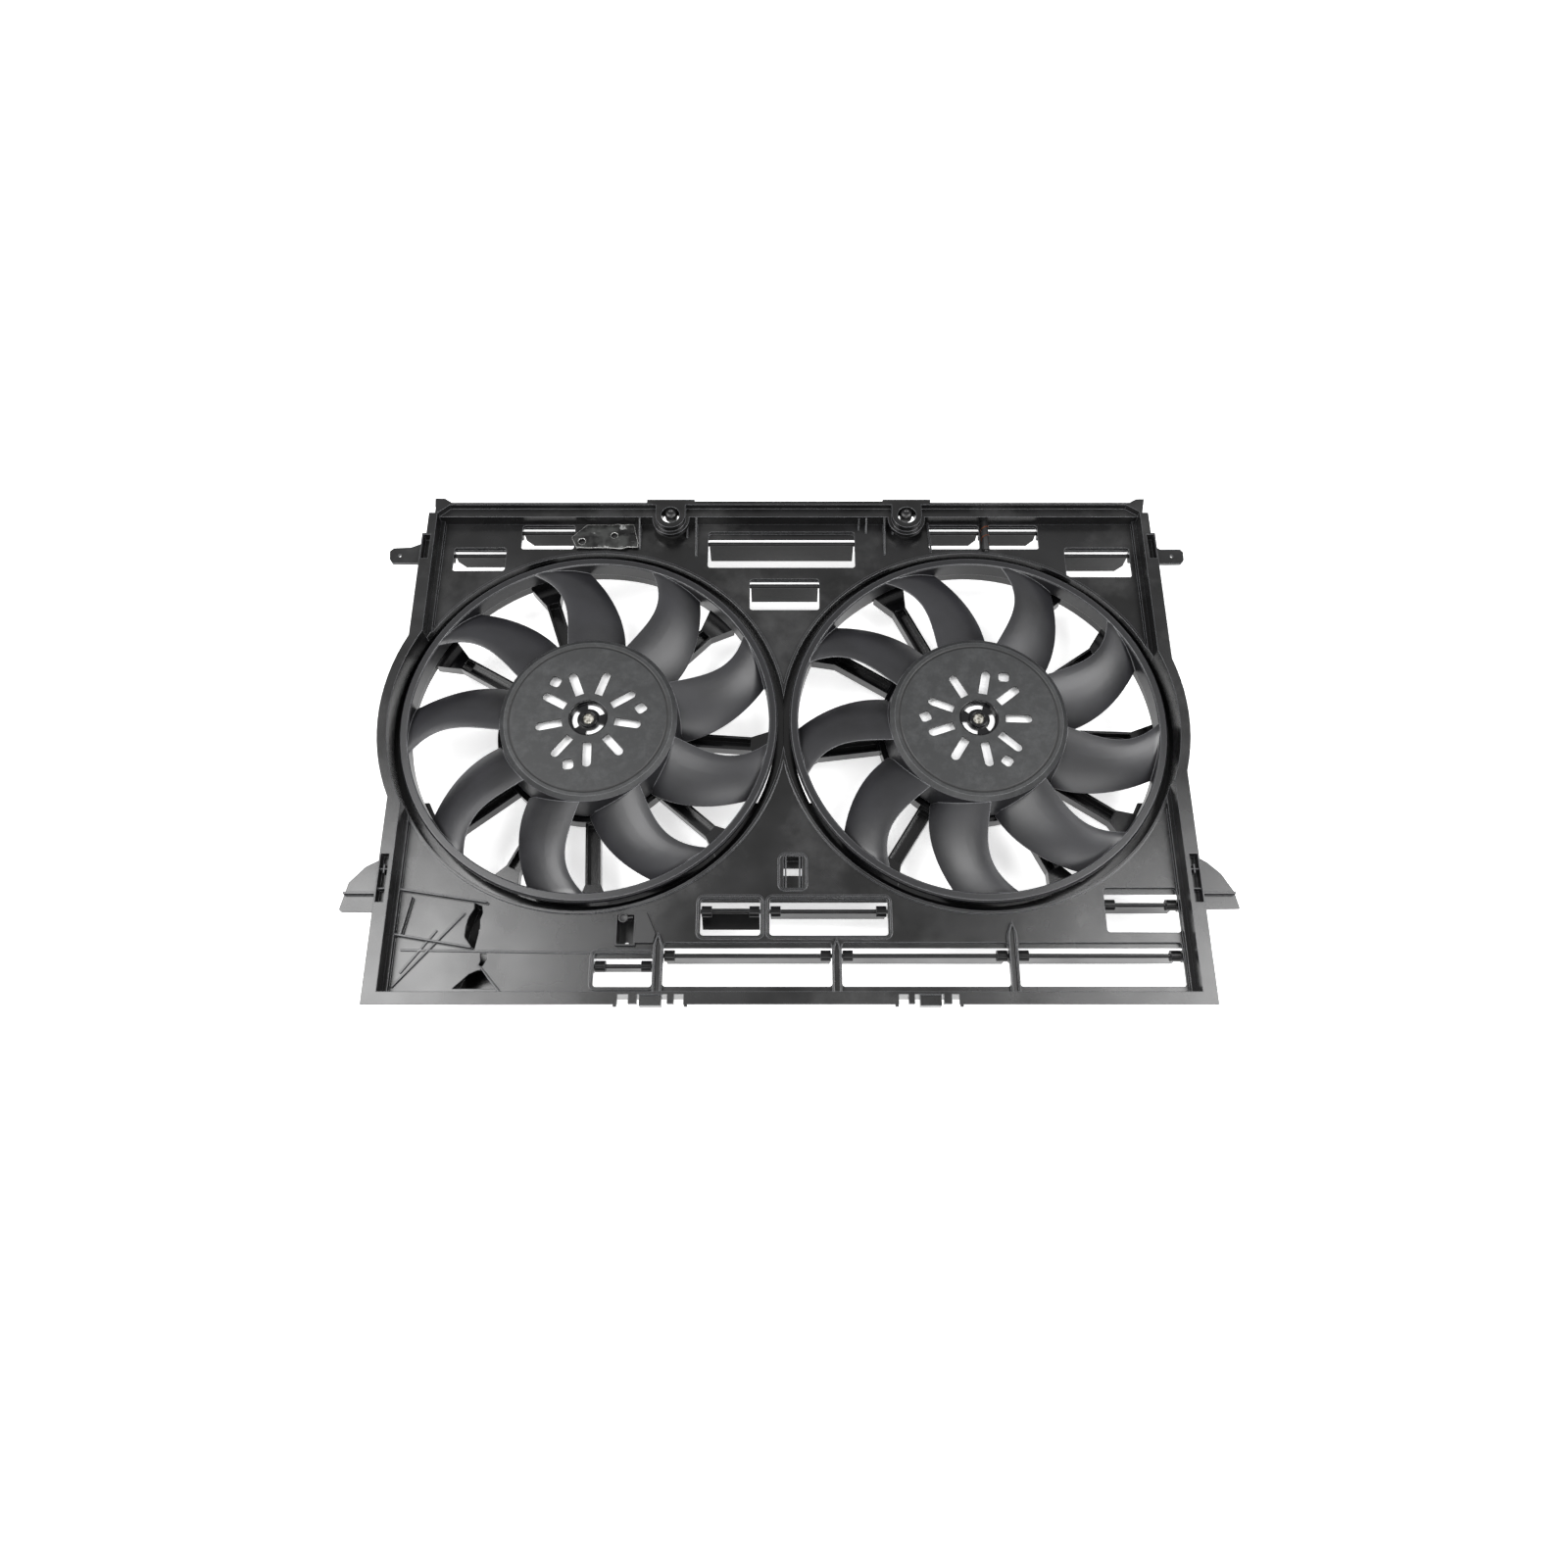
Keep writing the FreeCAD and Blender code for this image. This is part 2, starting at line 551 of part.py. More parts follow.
# Latch: a pocket below the plate with a window in its floor, and its two guide ribs
latch_in = (LATCH_X[0] + " + 5", LATCH_X[1] + " - 5")
latch_along = (LATCH_Y[0] + " + 3", LATCH_Y[1] + " - 3")
added.append(block("latch_pocket", (latch_in[0] + " - 1.5", latch_in[1] + " + 1.5"),
                   (latch_along[0] + " - 1.5", latch_along[1] + " + 1.5"), (UNDER + " - 14", UNDER)))
removed.append(block("latch_room", latch_in, latch_along, (UNDER + " - 12.5", ABOVE)))
removed.append(block("latch_window", latch_in, (LATCH_Y[0] + " + 19", LATCH_Y[0] + " + 26"),
                     (UNDER + " - 15", UNDER)))
latch_guides = [block("latch_guide_%d" % index, (spot, spot + " + 1.4"), latch_along, (UNDER + " - 13", PLATE))
                for index, spot in enumerate((latch_in[0] + " + 1.2", latch_in[1] + " - 2.6"))]

# Three openings in the lower left corner, into a closed duct below the plate
CORNER = ("-" + WALL_X, WALL_LOW)
corner_openings = (
    ("corner_slot", ((70.8, 83.7), (78.2, 80.6), (79.2, 74.3), (77.3, 68.1), (78, 60.9), (74.9, 41.6),
                     (71.7, 43.6), (64.9, 52.7), (65, 60.9), (66.7, 70.2), (71.3, 78.5))),
    ("corner_notch", ((80.2, 37.9), (85.8, 37.5), (86.7, 32.5), (83.3, 26.4), (79.3, 26.4), (81, 31))),
    ("corner_wedge", ((58.7, 6.5), (65, 12.5), (72.1, 19.4), (79.3, 22.8), (83.3, 22.8), (90.4, 13.5),
                      (96, 6.5))),
)
duct_outline = outline(((52, 1), (103, 1), (103, 14), (89, 40), (84, 85), (68, 86), (61, 60), (61, 22)), *CORNER)
added.append(slab("corner_duct", duct_outline, UNDER + " - 24", UNDER))
removed.append(slab("corner_duct_room", duct_outline, UNDER + " - 22.5", UNDER, 1.5))
for name, points in corner_openings:
    removed.append(slab(name, outline(points, *CORNER), UNDER + " - 1", PLATE + " + 5"))
for index, spot in enumerate(((70.5, 62), (75, 62))):
    east, north = outline([spot], *CORNER)[0]
    removed.append(block("corner_light_%d" % index, (east, east + " + 2.6"), (north, north + " + 4"),
                         (UNDER + " - 25", UNDER)))

# Hole that the plug's housing drops into
PLUG = ("(fan_offset - 148)", "(%s + 44)" % WALL_LOW)
PLUG_X = (PLUG[0], PLUG[0] + " + 17.5")
PLUG_Y = (PLUG[1], PLUG[1] + " + 29")
removed.append(block("plug_hole", PLUG_X, PLUG_Y, (UNDER + " - 1", PLATE + " + 1")))

# Ribs on the plate, measured from the lower left corner, with their heights
ribs = (
    ("rib_a", (2, 95.5), (82.8, 83.2), 5),
    ("rib_b", (4, 54), (72.6, 42.3), 5),
    ("rib_c", (15.3, 88.3), (9.2, 53.5), 5),
    ("rib_d", (79.8, 26.9), (102.3, 1), 4),
    ("rib_e", (6.1, 7.5), (63.4, 74), 2),
    ("rib_f", (10.5, 40.5), (177.2, 37.9), 1.5),
    ("rib_g", (12, 20), (40, 58), 1.5),
)
for name, start, end, height in ribs:
    start, end = outline([start, end], *CORNER)
    added.append(rib(name, start, end, height))
added.append(rib("rib_h", (SIDES["right"] + " - 37.7", WALL_TOP + " + 1"), (SIDES["right"] + " - 35.3",
                                                                          WALL_TOP + " - 33"), 2.5))
for index, (east, reach) in enumerate((("-eye_spread + 15.2", 17), ("-eye_spread + 24.7", 39),
                                       ("-eye_spread - 32.3", 30), ("eye_spread - 13.6", 13),
                                       ("eye_spread - 22.5", 37), ("eye_spread - 40.6", 12),
                                       ("eye_spread - 48", 8))):
    added.append(gusset("gusset_%d" % index, east, reach))

# Hollow dividers between the windows of the bottom row, pointed at their upper ends
for index, (window, tip) in enumerate((("foot_left", 56), ("foot_middle", 51.5), ("foot_right", 66))):
    datum = {row[0]: row[1] for row in WINDOWS}[window]
    middle = "(%s - 4.5)" % sides_of(window, datum)[0]
    points = outline(((-3.9, 0), (3.9, 0), (3.9, tip - 11), (0, tip), (-3.9, tip - 11)), middle, WALL_LOW)
    added.append(slab("divider_%d" % index, points, PLATE + " - 0.5", PLATE + " + 5"))
    removed.append(slab("divider_room_%d" % index, points, PLATE + " + 1", PLATE + " + 6", 1.3))

# Two eyes for rubber bushes at the top
EYE_Y = "(%s - 2.2)" % WALL_TOP
for side, sign in (("left", "-"), ("right", "")):
    middle = sign + "eye_spread"
    added.append(drum(side + "_eye_foot", "eye_boss + 1.5", (RIM + " - eye_depth", RIM + " - 7"), middle, EYE_Y))
    added.append(drum(side + "_eye_boss", "eye_boss - 2.2", (RIM + " - 8", RIM), middle, EYE_Y))
    added.append(block(side + "_eye_tab", (middle + " - eye_boss + 2.2", middle + " + eye_boss - 2.2"),
                       (EYE_Y, LEDGE_TOP + " + 6.2"), (RIM + " - eye_depth", RIM)))
    added.append(block(side + "_eye_shoulder", (middle + " - 24", middle + " + 24"),
                       (LEDGE_TOP, LEDGE_TOP + " + 6.2"), (RIM + " - 3", RIM)))
    removed.append(drum(side + "_eye_hole", "eye_radius", (UNDER + " - 1", ABOVE), middle, EYE_Y))
    removed.append(block(side + "_eye_relief", (middle + " - eye_radius", middle + " + eye_radius"),
                         (EYE_Y, WALL_TOP + " + 20"), (UNDER + " - 1", RIM + " - eye_depth")))
added.append(block("top_edge", ("-eye_spread", "eye_spread"), (LEDGE_TOP, LEDGE_TOP + " + 4.2"),
                   (RIM + " - 3", RIM)))

# Horns, tabs and wings outside the flange: outwards from its edge, then up from the top or the bottom wall
flange_pieces = (
    ("left_horn", "-", WALL_TOP, RIM, ((-8.6, 17.4), (-18.3, 17.1), (-26.3, 11.9), (-13.1, 0.4), (-9.5, 7.4))),
    ("right_horn", "", WALL_TOP, RIM, ((-14.4, 16.4), (-6.4, 16.6), (-9.9, -0.3), (-24.8, 9.3), (-20, 13.4))),
    ("left_tab", "-", WALL_TOP, RIM + " - 8",
     ((-11, -30.1), (0.2, -30.1), (12.1, -35.2), (28.9, -36.1), (32.5, -39.6), (31.7, -48.8), (28.5, -53.5),
      (-11, -53.8))),
    ("right_tab", "", WALL_TOP, RIM + " - 8",
     ((-11, -33.1), (-0.9, -33.1), (5.8, -37.6), (25.5, -37.4), (28.1, -40.8), (27.7, -50.1), (24.6, -54),
      (-11, -54.3))),
    ("left_wing", "-", WALL_LOW, RIM + " - 8",
     ((-11, 122), (-0.7, 121.2), (13.6, 113.4), (26.9, 98.7), (29.1, 88.2), (32.2, 74), (30, 72), (-11, 71.6))),
    ("right_wing", "", WALL_LOW, RIM + " - 8",
     ((-11, 124), (0, 123.1), (9.4, 117.3), (20, 107.3), (29.5, 90.6), (32.5, 75), (-11, 74.2))),
)
for name, sign, datum, top, points in flange_pieces:
    low = top + " - 8" if name.endswith("horn") else top + " - 3"
    added.append(slab(name, outline(points, EDGE_X, datum, sign), low, top))
removed.append(drum("left_tab_hole", "tab_hole_radius", (RIM + " - 12", RIM + " - 7"),
                    "-%s - tab_hole_out" % EDGE_X, WALL_TOP + " - 44.9"))
removed.append(drum("right_tab_hole", "tab_hole_radius", (RIM + " - 12", RIM + " - 7"),
                    "%s + tab_hole_out - 5.9" % EDGE_X, WALL_TOP + " - 45.6"))

# Open boxes in the side flanges at the tabs and the wings, the narrow upper ends, and a rib on each wing
for side, sign in (("left", "-"), ("right", "")):
    for kind, datum, start, end in (("tab", WALL_TOP, -54, -24), ("wing", WALL_LOW, 77.5, 124.5)):
        spread = sorted((sign + EDGE_X, sign + OUT_X), key=value)
        along = ("%s + %s" % (datum, start), "%s + %s" % (datum, end))
        added.append(block("%s_%s_box" % (side, kind), spread, along, (RIM + " - 11", RIM)))
        removed.append(block("%s_%s_room" % (side, kind), (spread[0] + " + 1.3", spread[1] + " - 1.3"),
                             (along[0] + " + 1.3", along[1] + " - 1.3"), (RIM + " - 9.7", ABOVE)))
    ends = sorted((sign + "(%s + 1)" % EDGE_X, sign + "(%s - 4)" % EDGE_X), key=value)
    removed.append(block(side + "_narrow_end", ends, (WALL_TOP + " - 23.5", WALL_TOP + " + 3"),
                         (RIM + " - 4", ABOVE)))
    ends = sorted((sign + "(%s - 1)" % EDGE_X, sign + "(%s + 29)" % EDGE_X), key=value)
    added.append(block(side + "_wing_rib", ends, (WALL_LOW + " + 87", WALL_LOW + " + 89"),
                       (RIM + " - 9", RIM + " - 3")))

# Snap fingers that stand in the wing boxes
snaps = []
for side, sign in (("left", "-"), ("right", "")):
    middle = "%s(%s + wall / 2 + side_flange / 2)" % (sign, WALL_X)
    for index, north in enumerate((92, 110)):
        spot = "%s + %s" % (WALL_LOW, north)
        snaps.append(block("%s_snap_%d" % (side, index), (middle + " - 4.8", middle + " + 4.8"),
                           (spot + " - 0.6", spot + " + 0.6"), (RIM + " - 10.5", RIM + " - 3")))
    snaps.append(block(side + "_snap_post", (middle + " - 0.6", middle + " + 0.6"),
                       (WALL_LOW + " + 106", WALL_LOW + " + 114"), (RIM + " - 10.5", RIM + " - 2")))

# Clip feet in two notches of the bottom flange, left and right of the middle
LOW_WALL = "(%s - wall)" % WALL_LOW
feet = []
for side, west, east, toes, tab in (
    ("left", -146, -90, ((-137, -129.5), (-104, -98)), (-128, -109)),
    ("right", 93, 144, ((101, 106.5), (131, 138)), (111, 129.5)),
):
    removed.append(block(side + "_foot_notch", (str(west), str(east)), (EDGE_LOW + " - 1", LOW_WALL),
                         (RIM + " - flange_thickness - 1", ABOVE)))
    for index, (start, end) in enumerate(toes):
        feet.append(block("%s_toe_%d" % (side, index), (str(start), str(end)),
                          (EDGE_LOW + " + 0.5", LOW_WALL + " + 1"), (RIM + " - 5", RIM)))
    feet.append(block(side + "_foot_tab", (str(tab[0]), str(tab[1])), (EDGE_LOW + " - 0.5", LOW_WALL + " + 1"),
                      (RIM + " - 12", RIM + " - 3")))
    for index, spot in enumerate((west - 2, east + 2)):
        feet.append(block("%s_pin_%d" % (side, index), (str(spot - 1.5), str(spot + 1.5)),
                          (EDGE_LOW + " - 2", EDGE_LOW + " + 1"), (RIM + " - flange_thickness", RIM)))

tray_walls = subtract("tray_walls", join("tray_added", added), join("tray_removed", removed))
shroud_walls = tray_walls
for way in fan_ways:
    shroud_walls = subtract(way.Name + "_cut", shroud_walls, way)
moulding = join("moulding", [shroud_walls] + latch_guides + feet + snaps)

# The moulding comes in zones that meet face to face: a duct below each fan's groove, the plate above the
# fans, the plate below them, and the walls with their flange
duct_zones = {}
for side, axis in SIDES.items():
    half = ("fan_offset - 500", MIDDLE) if side == "left" else (MIDDLE, "fan_offset + 500")
    zone = doc.addObject("Part::MultiCommon", side + "_duct_zone")
    zone.Shapes = [
        drum(side + "_duct_drum", GROOVE + " + wall", (RING_END + " - 1", UNDER), axis, AXIS),
        block(side + "_duct_half", half, (WALL_LOW, WALL_TOP), (RING_END + " - 1", UNDER)),
    ]
    duct_zones[side] = zone
plate_up = ("0", RIM + " - eye_depth")
plate_zones = {
    "upper": block("upper_zone", ("-" + WALL_X, WALL_X), (AXIS, WALL_TOP), plate_up),
    "lower": block("lower_zone", ("-" + WALL_X, WALL_X), (WALL_LOW, AXIS), plate_up),
}


def zone_of(name, zones, outside=()):
    """The part of the moulding inside every zone of the first list and outside those of the second."""
    piece = moulding
    for index, zone in enumerate(zones):
        inside = doc.addObject("Part::Common", "%s_inside_%d" % (name, index))
        inside.Base = piece
        inside.Tool = zone
        piece = inside
    for index, zone in enumerate(outside):
        piece = subtract("%s_outside_%d" % (name, index), piece, zone)
    return piece


ducts = list(duct_zones.values())
NODES = []


def keep(node, item):
    """Name a finished sub-part and list it for the files."""
    item.Label = node
    NODES.append((node, item))
    return item


keep("shroud", zone_of("walls", [], ducts + list(plate_zones.values())))
for part_of, zone in plate_zones.items():
    keep(part_of + "_plate", zone_of(part_of, [zone], ducts))
for side, axis in SIDES.items():
    keep(side + "_ring_duct", zone_of(side, [duct_zones[side]]))
    frame = solid_feature(side + "_strut_frame", spider_shape(STRUT_ANGLES[side]).cut(screw_holes()))
    keep(side + "_strut_frame", place(frame, axis, AXIS, "0"))


def blade_section(share):
    """One closed outline across a blade, a share of the way from the hub to the band."""
    root = value("hub_edge_radius - 5")
    out = root + share * (value("band_radius + 3") - root)
    ahead = value("blade_lead_root") - share * value("blade_lead_back") + share ** 4 * value("blade_lead_sweep")
    behind = value("blade_trail_root") + share * value("blade_trail_back")
    behind = share ** 2 * value("blade_trail_sweep") - behind
    lead_level = value("rim_level - blade_lead_drop") - share * value("blade_lead_fall")
    trail_level = value("rim_level - blade_trail_drop") + share * value("blade_trail_rise")
    upper = []
    lower = []
    for part_way in (0, 0.15, 0.4, 0.7, 1):
        along = ahead + part_way * (behind - ahead)
        level = lead_level + part_way * (trail_level - lead_level)
        level += 4 * part_way * (1 - part_way) * value("blade_camber")
        half = value("blade_thickness / 2") * (0.45 if part_way in (0, 1) else 1)
        upper.append(Vector(out, along, level + half))
        lower.append(Vector(out, along, level - half))
    top = Part.BSplineCurve()
    top.interpolate(upper)
    bottom = Part.BSplineCurve()
    bottom.interpolate(lower[::-1])
    edges = [top.toShape(), Part.makeLine(upper[-1], lower[-1])]
    edges += [bottom.toShape(), Part.makeLine(lower[0], upper[0])]
    return Part.Wire(edges)


def ring_shape(outer, inner, low, high):
    """A plain ring about the axis."""
    whole = Part.makeCylinder(outer, high - low, Vector(0, 0, low))
    return whole.cut(Part.makeCylinder(inner, high - low, Vector(0, 0, low)))


def revolved(corners):
    """A solid turned about the axis from (radius, level) numbers."""
    points = [Vector(radius, 0, level) for radius, level in corners]
    face = Part.Face(Part.makePolygon(points + points[:1]))
    return face.revolve(Vector(), Vector(0, 0, 1), 360)


# Directions of the first blade, the first slot, the first round hole and the first curved opening
BLADE_START = 100
SLOT_START = 31.5
HOLE_START = 11.5
KIDNEY_START = 22


def wheel_shape():
    """Hub, blades and band in one moulding, about the fan's axis."""
    face = value("rim_level - hub_drop")
    wall = value("wall")
    shoulder = face - value("hub_chamfer")
    base = face - value("hub_depth")
    flat = value("hub_face_radius")
    edge = value("hub_edge_radius")
    skirt = value("hub_skirt_radius")
    dish = value("hub_recess_radius")
    dish_floor = face - value("hub_recess_depth")
    collar = value("hub_collar_radius")
    collar_top = dish_floor + value("hub_collar_height")
    bore = value("hub_collar_bore")
    hub = revolved([(0, dish_floor - wall), (dish + wall, dish_floor - wall), (dish + wall, face - wall),
                    (flat - 1, face - wall), (edge - wall, shoulder - wall), (skirt - wall, base), (skirt, base),
                    (edge, shoulder), (flat, face), (dish + 1, face), (dish, face - 1), (dish, dish_floor),
                    (collar, dish_floor), (collar - 0.8, collar_top), (bore, collar_top), (bore, dish_floor),
                    (0, dish_floor)])
    band = value("band_radius")
    top = value("rim_level - band_drop")
    low = top - value("band_height")
    out = band + value("band_wall")
    lip = out + value("lip_reach")
    rim = revolved([(band, low), (out, low), (out, top - 2.5), (lip - 2, top - 2.5), (lip - 2, top - 6),
                    (lip, top - 6), (lip, top - 1.5), (lip - 1.5, top), (band + 1, top), (band, top - 1)])
    loft = Part.makeLoft([blade_section(share / 5) for share in range(6)], True, False)
    sleeve = ring_shape(band + 1, edge - wall / 2, base, face)
    blade = loft.common(sleeve)
    blade.rotate(Vector(), Vector(0, 0, 1), BLADE_START)
    blades = []
    number = int(value("blade_count"))
    for index in range(number):
        turned = blade.copy()
        turned.rotate(Vector(), Vector(0, 0, 1), index * 360 / number)
        blades.append(turned)
    whole = hub.fuse([rim] + blades)
    inside = revolved([(dish + wall, base - 1), (skirt - wall, base - 1), (skirt - wall, base),
                       (edge - wall, shoulder - wall), (flat - 1, face - wall), (dish + wall, face - wall)])
    whole = whole.cut(inside)
    cutters = [Part.makeCylinder(value("shaft_radius + running_clearance"), 20, Vector(0, 0, dish_floor - 10))]
    width = value("slot_width")
    start = value("slot_start")
    finish = value("slot_end") - width / 2
    for index in range(number):
        slot = Part.makeBox(finish - start, width, 10, Vector(start, -width / 2, face - 6))
        slot = slot.fuse(Part.makeCylinder(width / 2, 10, Vector(finish, 0, face - 6)))
        slot.rotate(Vector(), Vector(0, 0, 1), SLOT_START + index * 360 / number)
        cutters.append(slot)
    for index in range(3):
        side = value("hub_hole_side")
        hole = Part.makeBox(side, side, 10, Vector(value("hub_hole_circle") - side / 2, -side / 2, face - 6))
        upright = [edge for edge in hole.Edges if abs(edge.Vertexes[0].Z - edge.Vertexes[1].Z) > 1]
        hole = hole.makeFillet(value("hub_hole_corner"), upright)
        hole.rotate(Vector(value("hub_hole_circle"), 0, 0), Vector(0, 0, 1), 25)
        hole.rotate(Vector(), Vector(0, 0, 1), HOLE_START + index * 120)
        sweep = value("kidney_sweep")
        low = Vector(0, 0, dish_floor - 4)
        kidney = Part.makeCylinder(value("kidney_outer"), 5, low, Vector(0, 0, 1), sweep)
        kidney = kidney.cut(Part.makeCylinder(value("kidney_inner"), 5, low))
        kidney.rotate(Vector(), Vector(0, 0, 1), KIDNEY_START + index * 120)
        cutters += [hole, kidney]
    return whole.cut(cutters)


def ring_bars(name, reach, width, up, east, north):
    """Bars through the axis, one for each pair of stator teeth."""
    bars = []
    pairs = int(value("tooth_count") / 2)
    for index in range(pairs):
        turn = index * 180 / pairs
        bar = doc.addObject("Part::Box", "%s_%d" % (name, index))
        bind(bar, Length="2 * (%s)" % reach, Width=width, Height="(%s) - (%s)" % (up[1], up[0]))
        bar.Placement = Placement(Vector(), Rotation(Vector(0, 0, 1), turn))
        back = "(%s) * cos(%s)" % (reach, turn)
        place(bar, "%s - %s + (%s) / 2 * sin(%s)" % (east, back, width, turn),
              "%s - (%s) * sin(%s) - (%s) / 2 * cos(%s)" % (north, reach, turn, width, turn), up[0])
        bars.append(bar)
    return bars


SEAT = STRUT
DECK = STRUT + " + motor_flange_thickness"
FACE = "rim_level - hub_drop"
DISH = FACE + " - hub_recess_depth"
CAN_TOP = DISH + " - wall"
POST_TOP = DECK + " + post_height"
STACK_LOW = DECK + " + stator_lift"
STACK_TOP = STACK_LOW + " + stator_height"
SLIP = "running_clearance"
wheel = wheel_shape()

for side, axis in SIDES.items():
    # Turning pieces
    copy = solid_feature(side + "_fan_wheel", wheel)
    copy.Placement = Placement(Vector(), Rotation(Vector(0, 0, 1), WHEEL_ANGLE[side]))
    keep(side + "_fan_wheel", place(copy, axis, AXIS, "0"))
    can = turned_body(side + "_rotor_can", (
        ("shaft_radius + " + SLIP, CAN_TOP), ("can_radius - 2", CAN_TOP), ("can_radius", CAN_TOP + " - 2"),
        ("can_radius", DECK + " + 4"), ("can_radius - can_wall", DECK + " + 4"),
        ("can_radius - can_wall", CAN_TOP + " - can_wall"),
        ("shaft_radius + " + SLIP, CAN_TOP + " - can_wall")))
    keep(side + "_rotor_can", place(can, axis, AXIS, "0"))
    magnet_out = "can_radius - can_wall - " + SLIP
    magnet_in = "can_radius - can_wall - magnet_thickness"
    magnet_low = DECK + " + 5"
    magnet_top = CAN_TOP + " - can_wall - 1"
    magnet = subtract(side + "_rotor_magnet",
                      drum(side + "_magnet_block", magnet_out, (magnet_low, magnet_top), axis, AXIS),
                      drum(side + "_magnet_bore", magnet_in, (magnet_low, magnet_top), axis, AXIS))
    keep(side + "_rotor_magnet", magnet)
    shaft = turned_body(side + "_motor_shaft", (
        ("0", SEAT + " - 2"), ("shaft_radius - 0.6", SEAT + " - 2"), ("shaft_radius", SEAT + " - 1.4"),
        ("shaft_radius", DISH + " - 0.2"), ("shaft_radius / 2 + " + SLIP, DISH + " - 0.2"),
        ("shaft_radius / 2 + " + SLIP, DISH + " - 14"), ("0", DISH + " - 14")))
    keep(side + "_motor_shaft", place(shaft, axis, AXIS, "0"))
    screw = turned_body(side + "_hub_screw", (
        ("0", DISH + " - 12"), ("shaft_radius / 2", DISH + " - 12"), ("shaft_radius / 2", DISH),
        ("shaft_radius + 1.2", DISH), ("shaft_radius + 1.2", DISH + " + 1.8"), ("shaft_radius", DISH + " + 3"),
        ("0", DISH + " + 3")))
    keep(side + "_hub_screw", place(screw, axis, AXIS, "0"))

    # Standing pieces of the motor
    for end, low in (("front", POST_TOP + " - bearing_width"), ("rear", SEAT)):
        high = "(%s) + bearing_width" % low
        bearing = subtract("%s_%s_bearing" % (side, end),
                           drum("%s_%s_race" % (side, end), "bearing_radius", (low, high), axis, AXIS),
                           drum("%s_%s_bore" % (side, end), "shaft_radius + " + SLIP, (low, high), axis, AXIS))
        keep("%s_%s_bearing" % (side, end), bearing)
    base_core = turned_body(side + "_base_core", (
        ("bearing_radius + " + SLIP, SEAT), ("motor_flange_radius", SEAT), ("motor_flange_radius", DECK),
        ("post_radius", DECK), ("post_radius", POST_TOP), ("bearing_radius + " + SLIP, POST_TOP),
        ("bearing_radius + " + SLIP, POST_TOP + " - bearing_width"),
        ("bearing_radius - 3", POST_TOP + " - bearing_width"), ("bearing_radius - 3", SEAT + " + bearing_width"),
        ("bearing_radius + " + SLIP, SEAT + " + bearing_width")))
    place(base_core, axis, AXIS, "0")
    pillars = []
    sockets = []
    cover_screws = []
    motor_screws = []
    board_holes = []
    for index, angle in enumerate(motor_screw_angles()):
        spot_x = "%s + pillar_circle * cos(%d)" % (axis, angle + 60)
        spot_y = "%s + pillar_circle * sin(%d)" % (AXIS, angle + 60)
        tag = "%s_%d" % (side, index)
        pillars.append(drum(tag + "_pillar", "pillar_radius", ("board_level", SEAT), spot_x, spot_y))
        pillars.append(drum(tag + "_pillar_end", "pillar_radius - 2", ("cover_wall", "board_level"), spot_x, spot_y))
        board_holes.append(drum(tag + "_board_hole", "pillar_radius - 2 + " + SLIP,
                                ("board_level - board_thickness - 1", "board_level + 1"), spot_x, spot_y))
        sockets.append(drum(tag + "_socket", "1.5 + " + SLIP, ("cover_wall - 1", "cover_wall + 9"), spot_x, spot_y))
        cover_screws.append(drum(tag + "_cover_screw", "1.5", ("1", "cover_wall + 8"), spot_x, spot_y))
        cover_screws.append(drum(tag + "_cover_screw_head", "3", ("0.2", "1.2"), spot_x, spot_y))
        spot_x = "%s + motor_screw_circle * cos(%d)" % (axis, angle)
        spot_y = "%s + motor_screw_circle * sin(%d)" % (AXIS, angle)
        sockets.append(drum(tag + "_screw_hole", "motor_screw_radius + " + SLIP, (SEAT + " - 1", DECK + " + 1"),
                            spot_x, spot_y))
        motor_screws.append(drum(tag + "_motor_screw", "motor_screw_radius", (SEAT + " - strut_height + 1", DECK),
                                 spot_x, spot_y))
        motor_screws.append(drum(tag + "_motor_screw_head", "motor_screw_radius + 2", (DECK, DECK + " + 3"),
                                 spot_x, spot_y))
    base = subtract(side + "_motor_base", join(side + "_base_solid", [base_core] + pillars),
                    join(side + "_base_holes", sockets))
    keep(side + "_motor_base", base)
    keep(side + "_motor_screws", join(side + "_motor_screws", motor_screws))
    keep(side + "_cover_screws", join(side + "_cover_screws", cover_screws))
    board = subtract(side + "_controller_board",
                     drum(side + "_board_disc", "board_radius", ("board_level - board_thickness", "board_level"),
                          axis, AXIS),
                     join(side + "_board_holes", board_holes))
    keep(side + "_controller_board", board)
    cup = turned_body(side + "_cover_cup", (
        ("0", "0"), ("cover_radius - 3", "0"), ("cover_radius", "3"), ("cover_radius", SEAT),
        ("cover_radius - cover_wall", SEAT), ("cover_radius - cover_wall", "cover_wall + 2"),
        ("cover_radius - cover_wall - 2", "cover_wall"), ("0", "cover_wall")))
    place(cup, axis, AXIS, "0")
    cup_holes = []
    for index, angle in enumerate(motor_screw_angles()):
        spot_x = "%s + pillar_circle * cos(%d)" % (axis, angle + 60)
        spot_y = "%s + pillar_circle * sin(%d)" % (AXIS, angle + 60)
        tag = "%s_%d" % (side, index)
        cup_holes.append(drum(tag + "_cover_hole", "1.5 + " + SLIP, ("-1", "cover_wall + 1"), spot_x, spot_y))
        cup_holes.append(drum(tag + "_cover_sink", "3.2", ("-1", "1.2"), spot_x, spot_y))
    keep(side + "_motor_cover", subtract(side + "_motor_cover", cup, join(side + "_cover_holes", cup_holes)))

